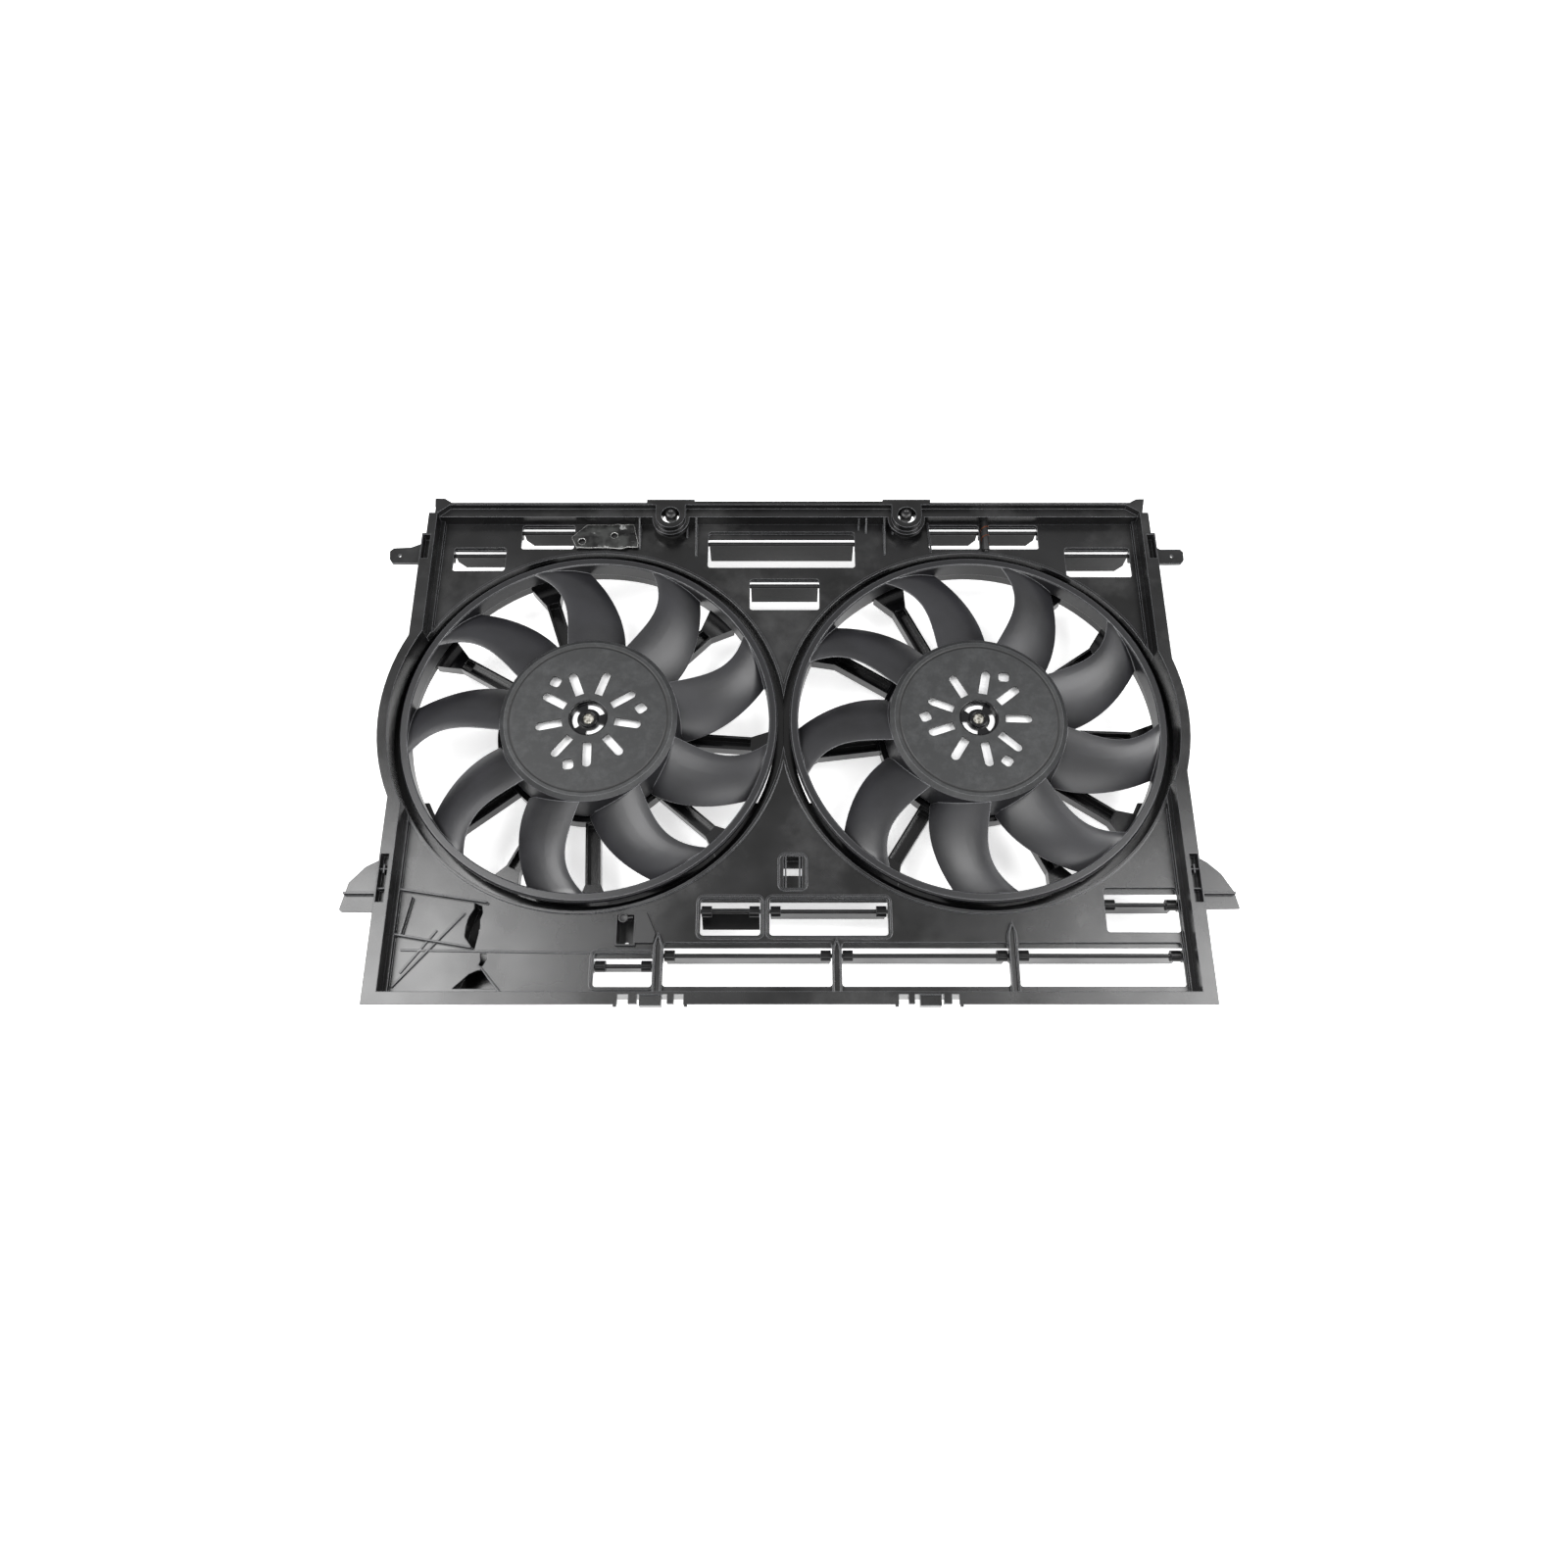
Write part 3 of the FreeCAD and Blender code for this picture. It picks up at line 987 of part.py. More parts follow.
    # Stator: laminations on the post, and a coil round every tooth
    bore_reach = "can_radius - can_wall - magnet_thickness - air_gap"
    teeth = ring_bars(side + "_tooth", bore_reach + " - 1", "tooth_width", (STACK_LOW, STACK_TOP), axis, AXIS)
    yoke = drum(side + "_yoke", "yoke_radius", (STACK_LOW, STACK_TOP), axis, AXIS)
    shoe_ring = subtract(side + "_shoe_ring",
                         drum(side + "_shoe_block", bore_reach, (STACK_LOW, STACK_TOP), axis, AXIS),
                         drum(side + "_shoe_bore", bore_reach + " - shoe_thickness",
                              (STACK_LOW + " - 1", STACK_TOP + " + 1"), axis, AXIS))
    wide = ring_bars(side + "_shoe_bar", bore_reach + " + 1", "3 * tooth_width",
                     (STACK_LOW + " - 1", STACK_TOP + " + 1"), axis, AXIS)
    shoes = doc.addObject("Part::MultiCommon", side + "_shoes")
    shoes.Shapes = [shoe_ring, join(side + "_shoe_bars", wide)]
    core = subtract(side + "_stator_core", join(side + "_core_solid", [yoke, shoes] + teeth),
                    drum(side + "_core_bore", "post_radius + " + SLIP, (STACK_LOW + " - 1", STACK_TOP + " + 1"),
                         axis, AXIS))
    keep(side + "_stator_core", core)
    coil_up = (STACK_LOW + " - coil_wrap", STACK_TOP + " + coil_wrap")
    coils = ring_bars(side + "_coil", bore_reach + " - shoe_thickness - 1", "tooth_width + 2 * coil_wrap", coil_up,
                      axis, AXIS)
    hollow = [drum(side + "_coil_room", "yoke_radius + 1", (coil_up[0] + " - 1", coil_up[1] + " + 1"), axis, AXIS)]
    hollow += ring_bars(side + "_coil_core", bore_reach, "tooth_width", (STACK_LOW, STACK_TOP), axis, AXIS)
    windings = subtract(side + "_stator_windings", join(side + "_coil_solid", coils),
                        join(side + "_coil_hollow", hollow))
    keep(side + "_stator_windings", windings)

# Flaps, hanging open
for window, datum, top, height, sill, pin, form in WINDOWS:
    node = window + "_flap"
    west, east = ["(%s)" % edge for edge in sides_of(window, datum)]
    west += " + flap_side_gap"
    east += " - flap_side_gap"
    pivot = "%s - %s" % (top, pin)
    reach = "(%s - %s - flap_end_gap)" % (height, pin)
    leaf = block(node + "_leaf", (west, east), (pivot + " - flap_thickness / 2", pivot + " + flap_thickness / 2"),
                 (PIVOT_Z + " - " + reach, PIVOT_Z + " + flap_lip"))
    spindle = [rod(node + "_pin", "pin_radius", (west + " - pin_length", east + " + pin_length"), pivot, PIVOT_Z)]
    if form == "knobs":
        spindle.append(rod(node + "_knob_west", "knob_radius", (west, west + " + knob_length"), pivot, PIVOT_Z))
        spindle.append(rod(node + "_knob_east", "knob_radius", (east + " - knob_length", east), pivot, PIVOT_Z))
    if form in ("left", "right"):
        edge, inward = (west, 1) if form == "left" else (east, -1)
        x = value(edge)
        y = value(pivot) - 5
        low = value(PIVOT_Z + " - " + reach)
        points = [Vector(x - inward, y, low - 1), Vector(x - inward, y, low + value("flap_corner_rise")),
                  Vector(x, y, low + value("flap_corner_rise")), Vector(x + inward * value("flap_corner"), y, low),
                  Vector(x + inward * value("flap_corner"), y, low - 1)]
        corner = Part.Face(Part.makePolygon(points + points[:1])).extrude(Vector(0, 10, 0))
        leaf = subtract(node + "_trimmed", leaf, solid_feature(node + "_corner", corner))
    flap = join(node, [leaf] + spindle)
    if window in LIFTED:
        flap.recompute(True)
        shape = flap.Shape.copy()
        shape.rotate(Vector(0, value(pivot), value(PIVOT_Z)), Vector(1, 0, 0), -LIFTED[window])
        flap = solid_feature(node + "_lifted", shape)
    keep(node, flap)

# Bracket sheet on the plate and the housing of the plug
BRACKET = (SIDES["left"], WALL_TOP)
bracket_outline = ((-30, -26.5), (-24.5, -29), (34, -29), (37, -22), (30, -2), (22, -0.6), (-16, -0.6), (-21, -3))
bracket_sheet = slab("bracket_sheet", outline(bracket_outline, *BRACKET), PLATE, PLATE + " + 2")
bracket_holes = []
for index, spot in enumerate(((-21, -21.5), (9, -14))):
    east, north = outline([spot], *BRACKET)[0]
    bracket_holes.append(drum("bracket_hole_%d" % index, "3", (PLATE + " - 1", PLATE + " + 3"), east, north))
keep("bracket_plate", subtract("bracket_plate", bracket_sheet, join("bracket_holes", bracket_holes)))
housing = block("housing_block", PLUG_X, PLUG_Y, (UNDER + " - 16", PLATE + " + 3.5"))
panel_outline = ((16.5, 2.5), (33.6, 2.5), (35.2, 11), (26.3, 31), (16.5, 31))
panel = slab("housing_panel", outline(panel_outline, *PLUG), PLATE, PLATE + " + 3")
socket = block("housing_socket", (PLUG_X[0] + " + 1.3", PLUG_X[1] + " - 1.3"),
               (PLUG_Y[0] + " + 1.3", PLUG_Y[1] + " - 1.3"), (UNDER + " - 14.5", PLATE + " + 5"))
outlet = drum("housing_outlet", "2", (UNDER + " - 17", UNDER), PLUG[0] + " + 8", PLUG[1] + " + 6")
housing_body = subtract("housing_body", join("housing_solid", [housing, panel]), socket)
keep("connector_housing", subtract("connector_housing", housing_body, outlet))

doc.recompute()
faults = [item.Name for item in doc.Objects if "Invalid" in item.State or "Error" in item.State]
if faults:
    raise RuntimeError("objects that did not recompute: " + ", ".join(faults))
os.makedirs("parts", exist_ok=True)
for node, item in NODES:
    item.Label = node
    shape = item.Shape
    if shape.isNull() or not shape.isValid():
        raise RuntimeError("bad shape: " + node)
    shape.exportStep("parts/%s.step" % node)
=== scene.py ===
import math
import bpy
from mathutils import Matrix, Vector


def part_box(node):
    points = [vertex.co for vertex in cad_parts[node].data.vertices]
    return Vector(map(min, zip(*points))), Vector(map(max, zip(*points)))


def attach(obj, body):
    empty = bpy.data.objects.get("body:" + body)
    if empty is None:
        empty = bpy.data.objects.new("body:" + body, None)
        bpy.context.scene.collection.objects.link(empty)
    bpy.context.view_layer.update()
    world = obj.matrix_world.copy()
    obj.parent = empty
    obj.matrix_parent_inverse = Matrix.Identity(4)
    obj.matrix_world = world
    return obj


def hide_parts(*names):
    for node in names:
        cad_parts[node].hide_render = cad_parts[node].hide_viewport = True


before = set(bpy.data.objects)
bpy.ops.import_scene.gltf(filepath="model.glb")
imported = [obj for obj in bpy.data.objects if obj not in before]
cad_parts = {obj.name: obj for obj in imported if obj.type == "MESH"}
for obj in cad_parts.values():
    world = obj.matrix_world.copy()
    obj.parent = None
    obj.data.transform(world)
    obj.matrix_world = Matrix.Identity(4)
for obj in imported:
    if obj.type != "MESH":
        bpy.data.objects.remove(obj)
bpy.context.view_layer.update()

# Radiator fan: the finish of every node, the small pieces modelled by hand on the tray, and the studio.
# Lengths are in millimetres, times MM where Blender wants metres, except for the camera, lamps and floor.
MM = 0.001

# Camera, as fitted to the photograph: a plain pinhole over the tray, leaning towards its top edge
CAMERA_PLACE = Vector((-0.0046, -0.4564, 1.0898))
CAMERA_TILT = math.radians(21.876)
CAMERA_LENS = 27.35
CAMERA_SENSOR = 36

# Lamps: name, place, width and depth in metres, and power in watts
LAMPS = (
    ("left_box", (-1.25, 0.1, 2.0), 1.0, 1.3, 46),
    ("right_box", (1.35, 0.0, 1.9), 1.0, 1.3, 42),
    ("front_box", (0.1, -1.7, 1.5), 1.6, 0.7, 23),
)
FLOOR_SIZE = 12
FLOOR_GLOW = 0.62
WORLD_AS_LIGHT = 0.55
WORLD_AS_SEEN = 1.0

# Zones of a fan wheel, by distance from its axis: where each one starts to show, and where it shows fully
HUB = (84, 82)
HUB_FACE = (76, 75)
DISH = (19, 18)
BAND = (165, 167)
# The same for the hub's face by its level, and the narrow groove near the face's rim: how far it runs from
# the axis, and how far from its own middle line its painted shade begins and its slope ends
HUB_LEVEL = (69, 71)
GROOVE_RADIUS = 74.5
GROOVE_SHADE = (1.2, 0.6)
GROOVE_SLOPE = (0.4, 1.3)

# Places on the tray that two pieces share: the eyes, and the middle line of the rod and its tie
EYE_EAST = 118.2
ROD_EAST, ROD_LEVEL = 198, 68.8

# A face looks one way when its unit normal goes that way at least this far. Edges that turn by more than
# the angle stay sharp.
FACING = 0.9
SHARP_ANGLE = math.radians(35)


def fan_centre(side):
    """East and north of one fan's axis in metres, from its motor's shaft."""
    low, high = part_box(side + "_motor_shaft")
    return (low[0] + high[0]) / 2, (low[1] + high[1]) / 2


# Colours and nodes

def linear(hexes):
    """An sRGB hex colour as linear red, green, blue and alpha."""
    channels = [int(hexes[i:i + 2], 16) / 255 for i in (1, 3, 5)]
    return [c / 12.92 if c <= 0.04045 else ((c + 0.055) / 1.055) ** 2.4 for c in channels] + [1.0]


def add(tree, kind, feeds=(), **settings):
    """Add one shader node, set its properties or named sockets, and feed its inputs by sockets or values."""
    item = tree.nodes.new("ShaderNode" + kind)
    for name, value in settings.items():
        if hasattr(item, name):
            setattr(item, name, value)
        else:
            item.inputs[name.replace("_", " ")].default_value = value
    for socket, source in dict(feeds).items():
        if hasattr(source, "is_linked"):
            tree.links.new(source, item.inputs[socket])
        else:
            item.inputs[socket].default_value = source
    return item


def cells(size_mm):
    """Texture scale at which one cell of a pattern measures size_mm."""
    return 1000 / size_mm


def compute(tree, operation, first, second=0.0):
    """A number worked out from one or two numbers or sockets."""
    return add(tree, "Math", {0: first, 1: second}, operation=operation).outputs[0]


def blend(tree, factor, first, second):
    """A number between two numbers or sockets."""
    return add(tree, "Mix", {0: factor, 2: first, 3: second}).outputs[0]


def blend_colour(tree, factor, first, second):
    """A colour between two colours or sockets."""
    return add(tree, "Mix", {0: factor, 6: first, 7: second}, data_type="RGBA").outputs[2]


def stretch(tree, source, low, high, to_low=0.0, to_high=1.0):
    """A value mapped from one range to another and held inside it."""
    return add(tree, "MapRange", {"Value": source}, From_Min=low, From_Max=high, To_Min=to_low,
               To_Max=to_high).outputs["Result"]


def zone(tree, distance, ends_mm):
    """Nought before a zone's first distance and one beyond its second, in either direction."""
    start, full = ends_mm
    return stretch(tree, distance, start * MM, full * MM)


def noise(tree, where, size_mm, detail=3.0, roughness=0.5):
    """Cloudy noise whose cells measure size_mm."""
    return add(tree, "TexNoise", {"Vector": where}, Scale=cells(size_mm), Detail=detail,
               Roughness=roughness).outputs["Fac"]


def bump(tree, height, depth_mm, strength, under=None):
    """Normals of a bumpy surface, laid over the normals under it if there are any."""
    feeds = {"Height": height}
    if under is not None:
        feeds["Normal"] = under
    return add(tree, "Bump", feeds, Strength=strength, Distance=depth_mm * MM).outputs["Normal"]


def begin(name):
    """A new material: itself, its tree and its surface shader."""
    material = bpy.data.materials.new(name)
    material.use_nodes = True
    tree = material.node_tree
    return material, tree, tree.nodes["Principled BSDF"]


def own_place(tree):
    """The piece's own coordinates, so that a pattern stays on a piece that moves."""
    return add(tree, "TexCoord").outputs["Object"]


def edge_rounding_and_highlight(tree, width_mm):
    """Normals rounded over the edges, and how far they turn: nought on a flat face, one along an edge, which
    masks the painted edge highlight.
    """
    rounded = add(tree, "Bevel", Radius=width_mm * MM, samples=6).outputs["Normal"]
    flat = add(tree, "NewGeometry").outputs["Normal"]
    turned = add(tree, "VectorMath", {0: rounded, 1: flat}, operation="DOT_PRODUCT").outputs["Value"]
    return rounded, stretch(tree, turned, low=0.995, high=0.85)


# Materials

def moulded_plastic(name, dark, light, edge_highlight, rough, grain_mm, depth_mm, edge_mm=0.6, smudge=0.0, gleam=0.5):
    """Injection-moulded plastic with drifting colour, fine grain and a painted highlight along its edges.

    The drift is what the melt leaves as it flows, the grain is the tool's texture, and a thin painted
    highlight runs along every rounded edge. Smudge adds the pale dusty patches of a part that has been
    handled.
    """
    material, tree, surface = begin(name)
    where = own_place(tree)
    drift = noise(tree, where, size_mm=55)
    grain = noise(tree, where, size_mm=grain_mm, detail=4.0, roughness=0.6)
    rounded, painted_edge_glint = edge_rounding_and_highlight(tree, edge_mm)
    colour = blend_colour(tree, stretch(tree, drift, 0.35, 0.65), linear(dark), linear(light))
    if smudge:
        dust = noise(tree, where, size_mm=90, detail=6.0, roughness=0.62)
        colour = blend_colour(tree, stretch(tree, dust, 0.52, 0.72, 0.0, smudge), colour, linear("#8d8d8d"))
    # Painted highlight: the edge colour laid along the rounded edges
    colour = blend_colour(tree, painted_edge_glint, colour, linear(edge_highlight))
    tree.links.new(colour, surface.inputs["Base Color"])
    tree.links.new(stretch(tree, drift, 0.3, 0.7, rough - 0.05, rough + 0.06), surface.inputs["Roughness"])
    grained = bump(tree, grain, depth_mm, strength=0.35, under=rounded)
    tree.links.new(grained, surface.inputs["Normal"])
    surface.inputs["IOR"].default_value = 1.52
    surface.inputs["Specular IOR Level"].default_value = gleam
    return material


def fan_nylon(name, axis):
    """One fan wheel: satin blades and band, a matt scuffed hub face and a glossy black dish round the screw.

    The zones are told apart by how far a point lies from the fan's axis, and the hub's face by its level too.
    A narrow groove, shaped by bump and darkened with painted shade, runs near the rim of the hub's face; a
    painted highlight runs along the rounded edges, but not on the slots' edges inside the groove.
    """
    material, tree, surface = begin(name)
    where = own_place(tree)
    from_axis = add(tree, "VectorMath", {0: where, 1: (axis[0], axis[1], 0)}, operation="SUBTRACT").outputs[0]
    flat = add(tree, "VectorMath", {0: from_axis, 1: (1, 1, 0)}, operation="MULTIPLY").outputs[0]
    radius = add(tree, "VectorMath", {0: flat}, operation="LENGTH").outputs["Value"]
    level = add(tree, "SeparateXYZ", {0: where}).outputs["Z"]
    hub = compute(tree, "MULTIPLY", zone(tree, radius, HUB), zone(tree, level, HUB_LEVEL))
    inner_face = compute(tree, "MULTIPLY", hub, zone(tree, radius, HUB_FACE))
    band = zone(tree, radius, BAND)
    dish = zone(tree, radius, DISH)
    off_groove = compute(tree, "ABSOLUTE", compute(tree, "SUBTRACT", radius, GROOVE_RADIUS * MM))
    groove_shade = compute(tree, "MULTIPLY", hub, zone(tree, off_groove, GROOVE_SHADE))

    rounded, painted_edge_glint = edge_rounding_and_highlight(tree, width_mm=1.0)
    # The hub's inner face gets no painted edge highlight
    painted_edge_glint = blend(tree, inner_face, painted_edge_glint, 0.0)
    drift = noise(tree, where, size_mm=40)
    scuffs = noise(tree, where, size_mm=14, detail=6.0, roughness=0.75)
    blade = blend_colour(tree, stretch(tree, drift, 0.35, 0.65), linear("#18181a"), linear("#212124"))
    face = blend_colour(tree, stretch(tree, scuffs, 0.45, 0.8), linear("#1b1c1d"), linear("#343536"))
    colour = blend_colour(tree, hub, blade, face)
    # Painted shade: near-black in the groove; painted highlight: pale grey along the rounded edges
    for where_it_shows, its_colour in ((band, "#19191b"), (dish, "#08080a"), (groove_shade, "#020202"),
                                       (painted_edge_glint, "#7b7c7f")):
        colour = blend_colour(tree, where_it_shows, colour, linear(its_colour))
    tree.links.new(colour, surface.inputs["Base Color"])

    rough = blend(tree, hub, 0.40, 0.50)
    rough = blend(tree, band, rough, 0.3)
    rough = blend(tree, dish, rough, 0.12)
    tree.links.new(rough, surface.inputs["Roughness"])
    slope = zone(tree, off_groove, GROOVE_SLOPE)
    grooved = bump(tree, slope, depth_mm=0.5, strength=0.8, under=rounded)
    grain = noise(tree, where, size_mm=0.8, detail=4.0, roughness=0.6)
    grained = bump(tree, grain, depth_mm=0.04, strength=0.3, under=grooved)
    tree.links.new(grained, surface.inputs["Normal"])
    surface.inputs["IOR"].default_value = 1.5
    return material


def crumpled_sheet(name):
    """Thin dark coated sheet that has been bent and pressed, with painted highlights on its wrinkles' crests
    and along its edges.
    """
    material, tree, surface = begin(name)
    where = own_place(tree)
    rounded, painted_edge_glint = edge_rounding_and_highlight(tree, width_mm=1.2)
    wrinkle = noise(tree, where, size_mm=11, detail=2.0, roughness=0.45)
    fold = add(tree, "TexVoronoi", {"Vector": where}, Scale=cells(14), feature="SMOOTH_F1")
    height = compute(tree, "ADD", wrinkle, fold.outputs["Distance"])
    # Painted highlight: the wrinkles' crests drawn lighter, and a pale line along the edges
    colour = blend_colour(tree, stretch(tree, wrinkle, 0.4, 0.65), linear("#1a1a1a"), linear("#3b3c3b"))
    colour = blend_colour(tree, painted_edge_glint, colour, linear("#dededc"))
    tree.links.new(colour, surface.inputs["Base Color"])
    wrinkled = bump(tree, height, depth_mm=2.2, strength=0.9, under=rounded)
    tree.links.new(wrinkled, surface.inputs["Normal"])
    surface.inputs["Roughness"].default_value = 0.17
    surface.inputs["Metallic"].default_value = 0.4
    return material


def plain_metal(name, colour, worn_colour, rough, streak_mm, metallic=1.0, stain_mm=18):
    """Metal with a fine drawn or ground surface and slow stains.

    Marks finer than a tenth of a millimetre are drawn coarser than they are, so that they still show.
    """
    material, tree, surface = begin(name)
    where = own_place(tree)
    stains = noise(tree, where, size_mm=stain_mm, detail=5.0)
    grind = noise(tree, where, size_mm=streak_mm, detail=2.0)
    tone = blend_colour(tree, stretch(tree, stains, 0.4, 0.7), linear(colour), linear(worn_colour))
    tree.links.new(tone, surface.inputs["Base Color"])
    tree.links.new(stretch(tree, grind, 0.3, 0.7, rough - 0.06, rough + 0.08), surface.inputs["Roughness"])
    tree.links.new(bump(tree, grind, depth_mm=0.02, strength=0.25), surface.inputs["Normal"])
    surface.inputs["Metallic"].default_value = metallic
    return material


# Satin black of the tray, greyed in patches by handling, its outline drawn by a painted highlight along its
# edges
tray_nylon = moulded_plastic("glass_filled_nylon", "#090909", "#131314", "#5c5d60", rough=0.25, grain_mm=0.9,
                             depth_mm=0.05, edge_mm=0.9, smudge=0.09)
# Darker and glossier, so that the ducts and struts stand as black rings and bars behind the fans
duct_nylon = moulded_plastic("glossy_black_nylon", "#050506", "#09090a", "#2e2e30", rough=0.18, grain_mm=0.9,
                             depth_mm=0.04)
# Waxy black of the flaps, with little gleam
flap_plastic = moulded_plastic("flap_polypropylene", "#070708", "#0e0e0f", "#3c3c3e", rough=0.32,
                               grain_mm=0.8, depth_mm=0.03, gleam=0.22)
# Flat, fine-grained black of the plug's housing, its ring and the rod
plug_plastic = moulded_plastic("plug_polyester", "#0d0d0e", "#151516", "#3a3a3c", rough=0.4, grain_mm=0.6,
                               depth_mm=0.03)
# Dark sheet of the bracket, with painted highlights along its wrinkles and its cut edges
coated_sheet = crumpled_sheet("coated_sheet_steel")
# Almost white plating, the bright bars seen through the slots of the hubs
rotor_steel = plain_metal("zinc_plated_rotor_steel", "#fbfbfb", "#f0f0f1", rough=0.3, streak_mm=0.5,
                          metallic=0.12)
# Dull light grey casting of the motors' bases
cast_aluminium = plain_metal("cast_aluminium", "#b9bbbe", "#9fa1a4", rough=0.5, streak_mm=0.8)
# Flat black paint of the rear covers, a little pebbled
cover_paint = moulded_plastic("black_powder_coat", "#0d0d0e", "#141415", "#333335", rough=0.5, grain_mm=0.8,
                              depth_mm=0.06)
# Bright, nearly mirrored steel of shafts and bearings
bearing_steel = plain_metal("ground_bearing_steel", "#c8c9cc", "#b4b5b8", rough=0.16, streak_mm=0.3)
# Mid-grey steel of the stators' cores
lamination_steel = plain_metal("stacked_lamination_steel", "#7c7d80", "#5f6063", rough=0.42, streak_mm=0.35)
# Glossy orange-brown of lacquered windings
copper_wire = plain_metal("enamelled_copper_wire", "#b8622f", "#8f4a22", rough=0.3, streak_mm=0.9)
# Bare copper gone brown, on the tie
tie_wire = plain_metal("browned_tie_wire", "#7c4a33", "#4d3026", rough=0.4, streak_mm=0.9)
# Dull dark grey ceramic of the magnets
ferrite = moulded_plastic("ferrite", "#1b1b1d", "#252527", "#444447", rough=0.6, grain_mm=0.5, depth_mm=0.05)
# Dark green lacquer, mottled by what lies under it
circuit_board = moulded_plastic("green_circuit_board", "#0b2e19", "#0f3d22", "#4a7555", rough=0.35,
                                grain_mm=2.5, depth_mm=0.03)
# Plain bright plating of the screws
zinc_steel = plain_metal("zinc_plated_screw_steel", "#b7b8ba", "#98999b", rough=0.3, streak_mm=0.3)
# Soft black of the bushes in the eyes
rubber = moulded_plastic("bush_rubber", "#101011", "#1a1a1b", "#3e3e40", rough=0.42, grain_mm=0.5,
                         depth_mm=0.03)
# Pale polished brass of the hub screws, flecked with brown
brass = plain_metal("brass_screw", "#f6f3e8", "#4f4838", rough=0.14, streak_mm=1.4, metallic=0.9, stain_mm=3)

# The finish of each node; all that isn't listed is a flap
FINISHES = {
    "shroud": tray_nylon, "upper_plate": tray_nylon, "lower_plate": tray_nylon,
    "bracket_plate": coated_sheet, "connector_housing": plug_plastic,
}
SIDE_FINISHES = {
    "ring_duct": duct_nylon, "strut_frame": duct_nylon, "hub_screw": brass, "rotor_can": rotor_steel,
    "rotor_magnet": ferrite, "motor_shaft": bearing_steel, "front_bearing": bearing_steel,
    "rear_bearing": bearing_steel, "stator_core": lamination_steel, "stator_windings": copper_wire,
    "motor_base": cast_aluminium, "motor_screws": zinc_steel, "controller_board": circuit_board,
    "motor_cover": cover_paint, "cover_screws": zinc_steel,
}
for side in ("left", "right"):
    FINISHES[side + "_fan_wheel"] = fan_nylon(side + "_wheel_nylon", fan_centre(side))
    for part, finish in SIDE_FINISHES.items():
        FINISHES[side + "_" + part] = finish
for name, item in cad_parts.items():
    item.data.materials.clear()
    item.data.materials.append(FINISHES.get(name, flap_plastic))


# Pieces modelled by hand on the tray

def start_piece(name, add_primitive, place, **sizes):
    """A named primitive at a place in millimetres, its place kept in its mesh, and nothing else selected."""
    bpy.ops.object.select_all(action="DESELECT")
    add_primitive(location=[v * MM for v in place], **sizes)
    piece = bpy.context.object
    piece.name = name
    piece.data.name = name
    bpy.ops.object.transform_apply(location=True, rotation=True, scale=True)
    return piece


def pick_faces(piece, wanted):
    """Edit mode with the faces selected whose centre, in millimetres, and normal the test accepts."""
    bpy.ops.object.mode_set(mode="EDIT")
    bpy.ops.mesh.select_mode(type="FACE")
    bpy.ops.mesh.select_all(action="DESELECT")
    bpy.ops.object.mode_set(mode="OBJECT")
    for face in piece.data.polygons:
        face.select = bool(wanted(face.center / MM, face.normal))
    bpy.ops.object.mode_set(mode="EDIT")


def inset(width):
    """Step in from the border of the selected faces by a width in millimetres."""
    bpy.ops.mesh.inset(thickness=width * MM)


def shift(x, y, z):
    """Move what is selected by an offset in millimetres."""
    bpy.ops.transform.translate(value=(x * MM, y * MM, z * MM))


def pull(x, y, z):
    """Extrude what is selected by an offset in millimetres."""
    bpy.ops.mesh.extrude_region_move(TRANSFORM_OT_translate={"value": (x * MM, y * MM, z * MM)})


def apply_modifier(piece, kind, **settings):
    """Add a modifier to a piece and apply it."""
    modifier = piece.modifiers.new(kind.lower(), kind)
    for key, value in settings.items():
        setattr(modifier, key, value)
    bpy.context.view_layer.objects.active = piece
    bpy.ops.object.modifier_apply(modifier=modifier.name)


def finish_piece(piece, material, edge_mm):
    """Round a piece's edges, smooth it, and give it its material and the tray to ride on."""
    bpy.ops.object.mode_set(mode="OBJECT")
    apply_modifier(piece, "BEVEL", width=edge_mm * MM, segments=2, limit_method="ANGLE")
    bpy.ops.object.select_all(action="DESELECT")
    piece.select_set(True)
    bpy.ops.object.shade_smooth_by_angle(angle=SHARP_ANGLE)
    piece.data.materials.clear()
    piece.data.materials.append(material)
    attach(piece, "shroud")


def duct_lip(side):
    """Narrow inward lip along the lower part of one ring duct's back end, below the fan's band."""
    inner, outer, low_end, high_end, cut_below_centre = 167.3, 175.6, 34, 36, 70
    east, north = fan_centre(side)
    lip = start_piece(side + "_duct_lip", bpy.ops.mesh.primitive_circle_add,
                      (east / MM, north / MM, low_end), vertices=128, radius=inner * MM)
    bpy.ops.object.mode_set(mode="EDIT")
    bpy.ops.mesh.select_all(action="SELECT")
    bpy.ops.mesh.extrude_edges_move()
    bpy.ops.transform.resize(value=(outer / inner, outer / inner, 1),
                             center_override=(east, north, low_end * MM))
    bpy.ops.mesh.select_all(action="SELECT")
    pull(0, 0, high_end - low_end)
    bpy.ops.mesh.select_all(action="SELECT")
    bpy.ops.mesh.normals_make_consistent(inside=False)
    bpy.ops.mesh.bisect(plane_co=(east, north - cut_below_centre * MM, 0), plane_no=(0, 1, 0),
                        use_fill=True, clear_outer=True)
    finish_piece(lip, duct_nylon, edge_mm=0.4)


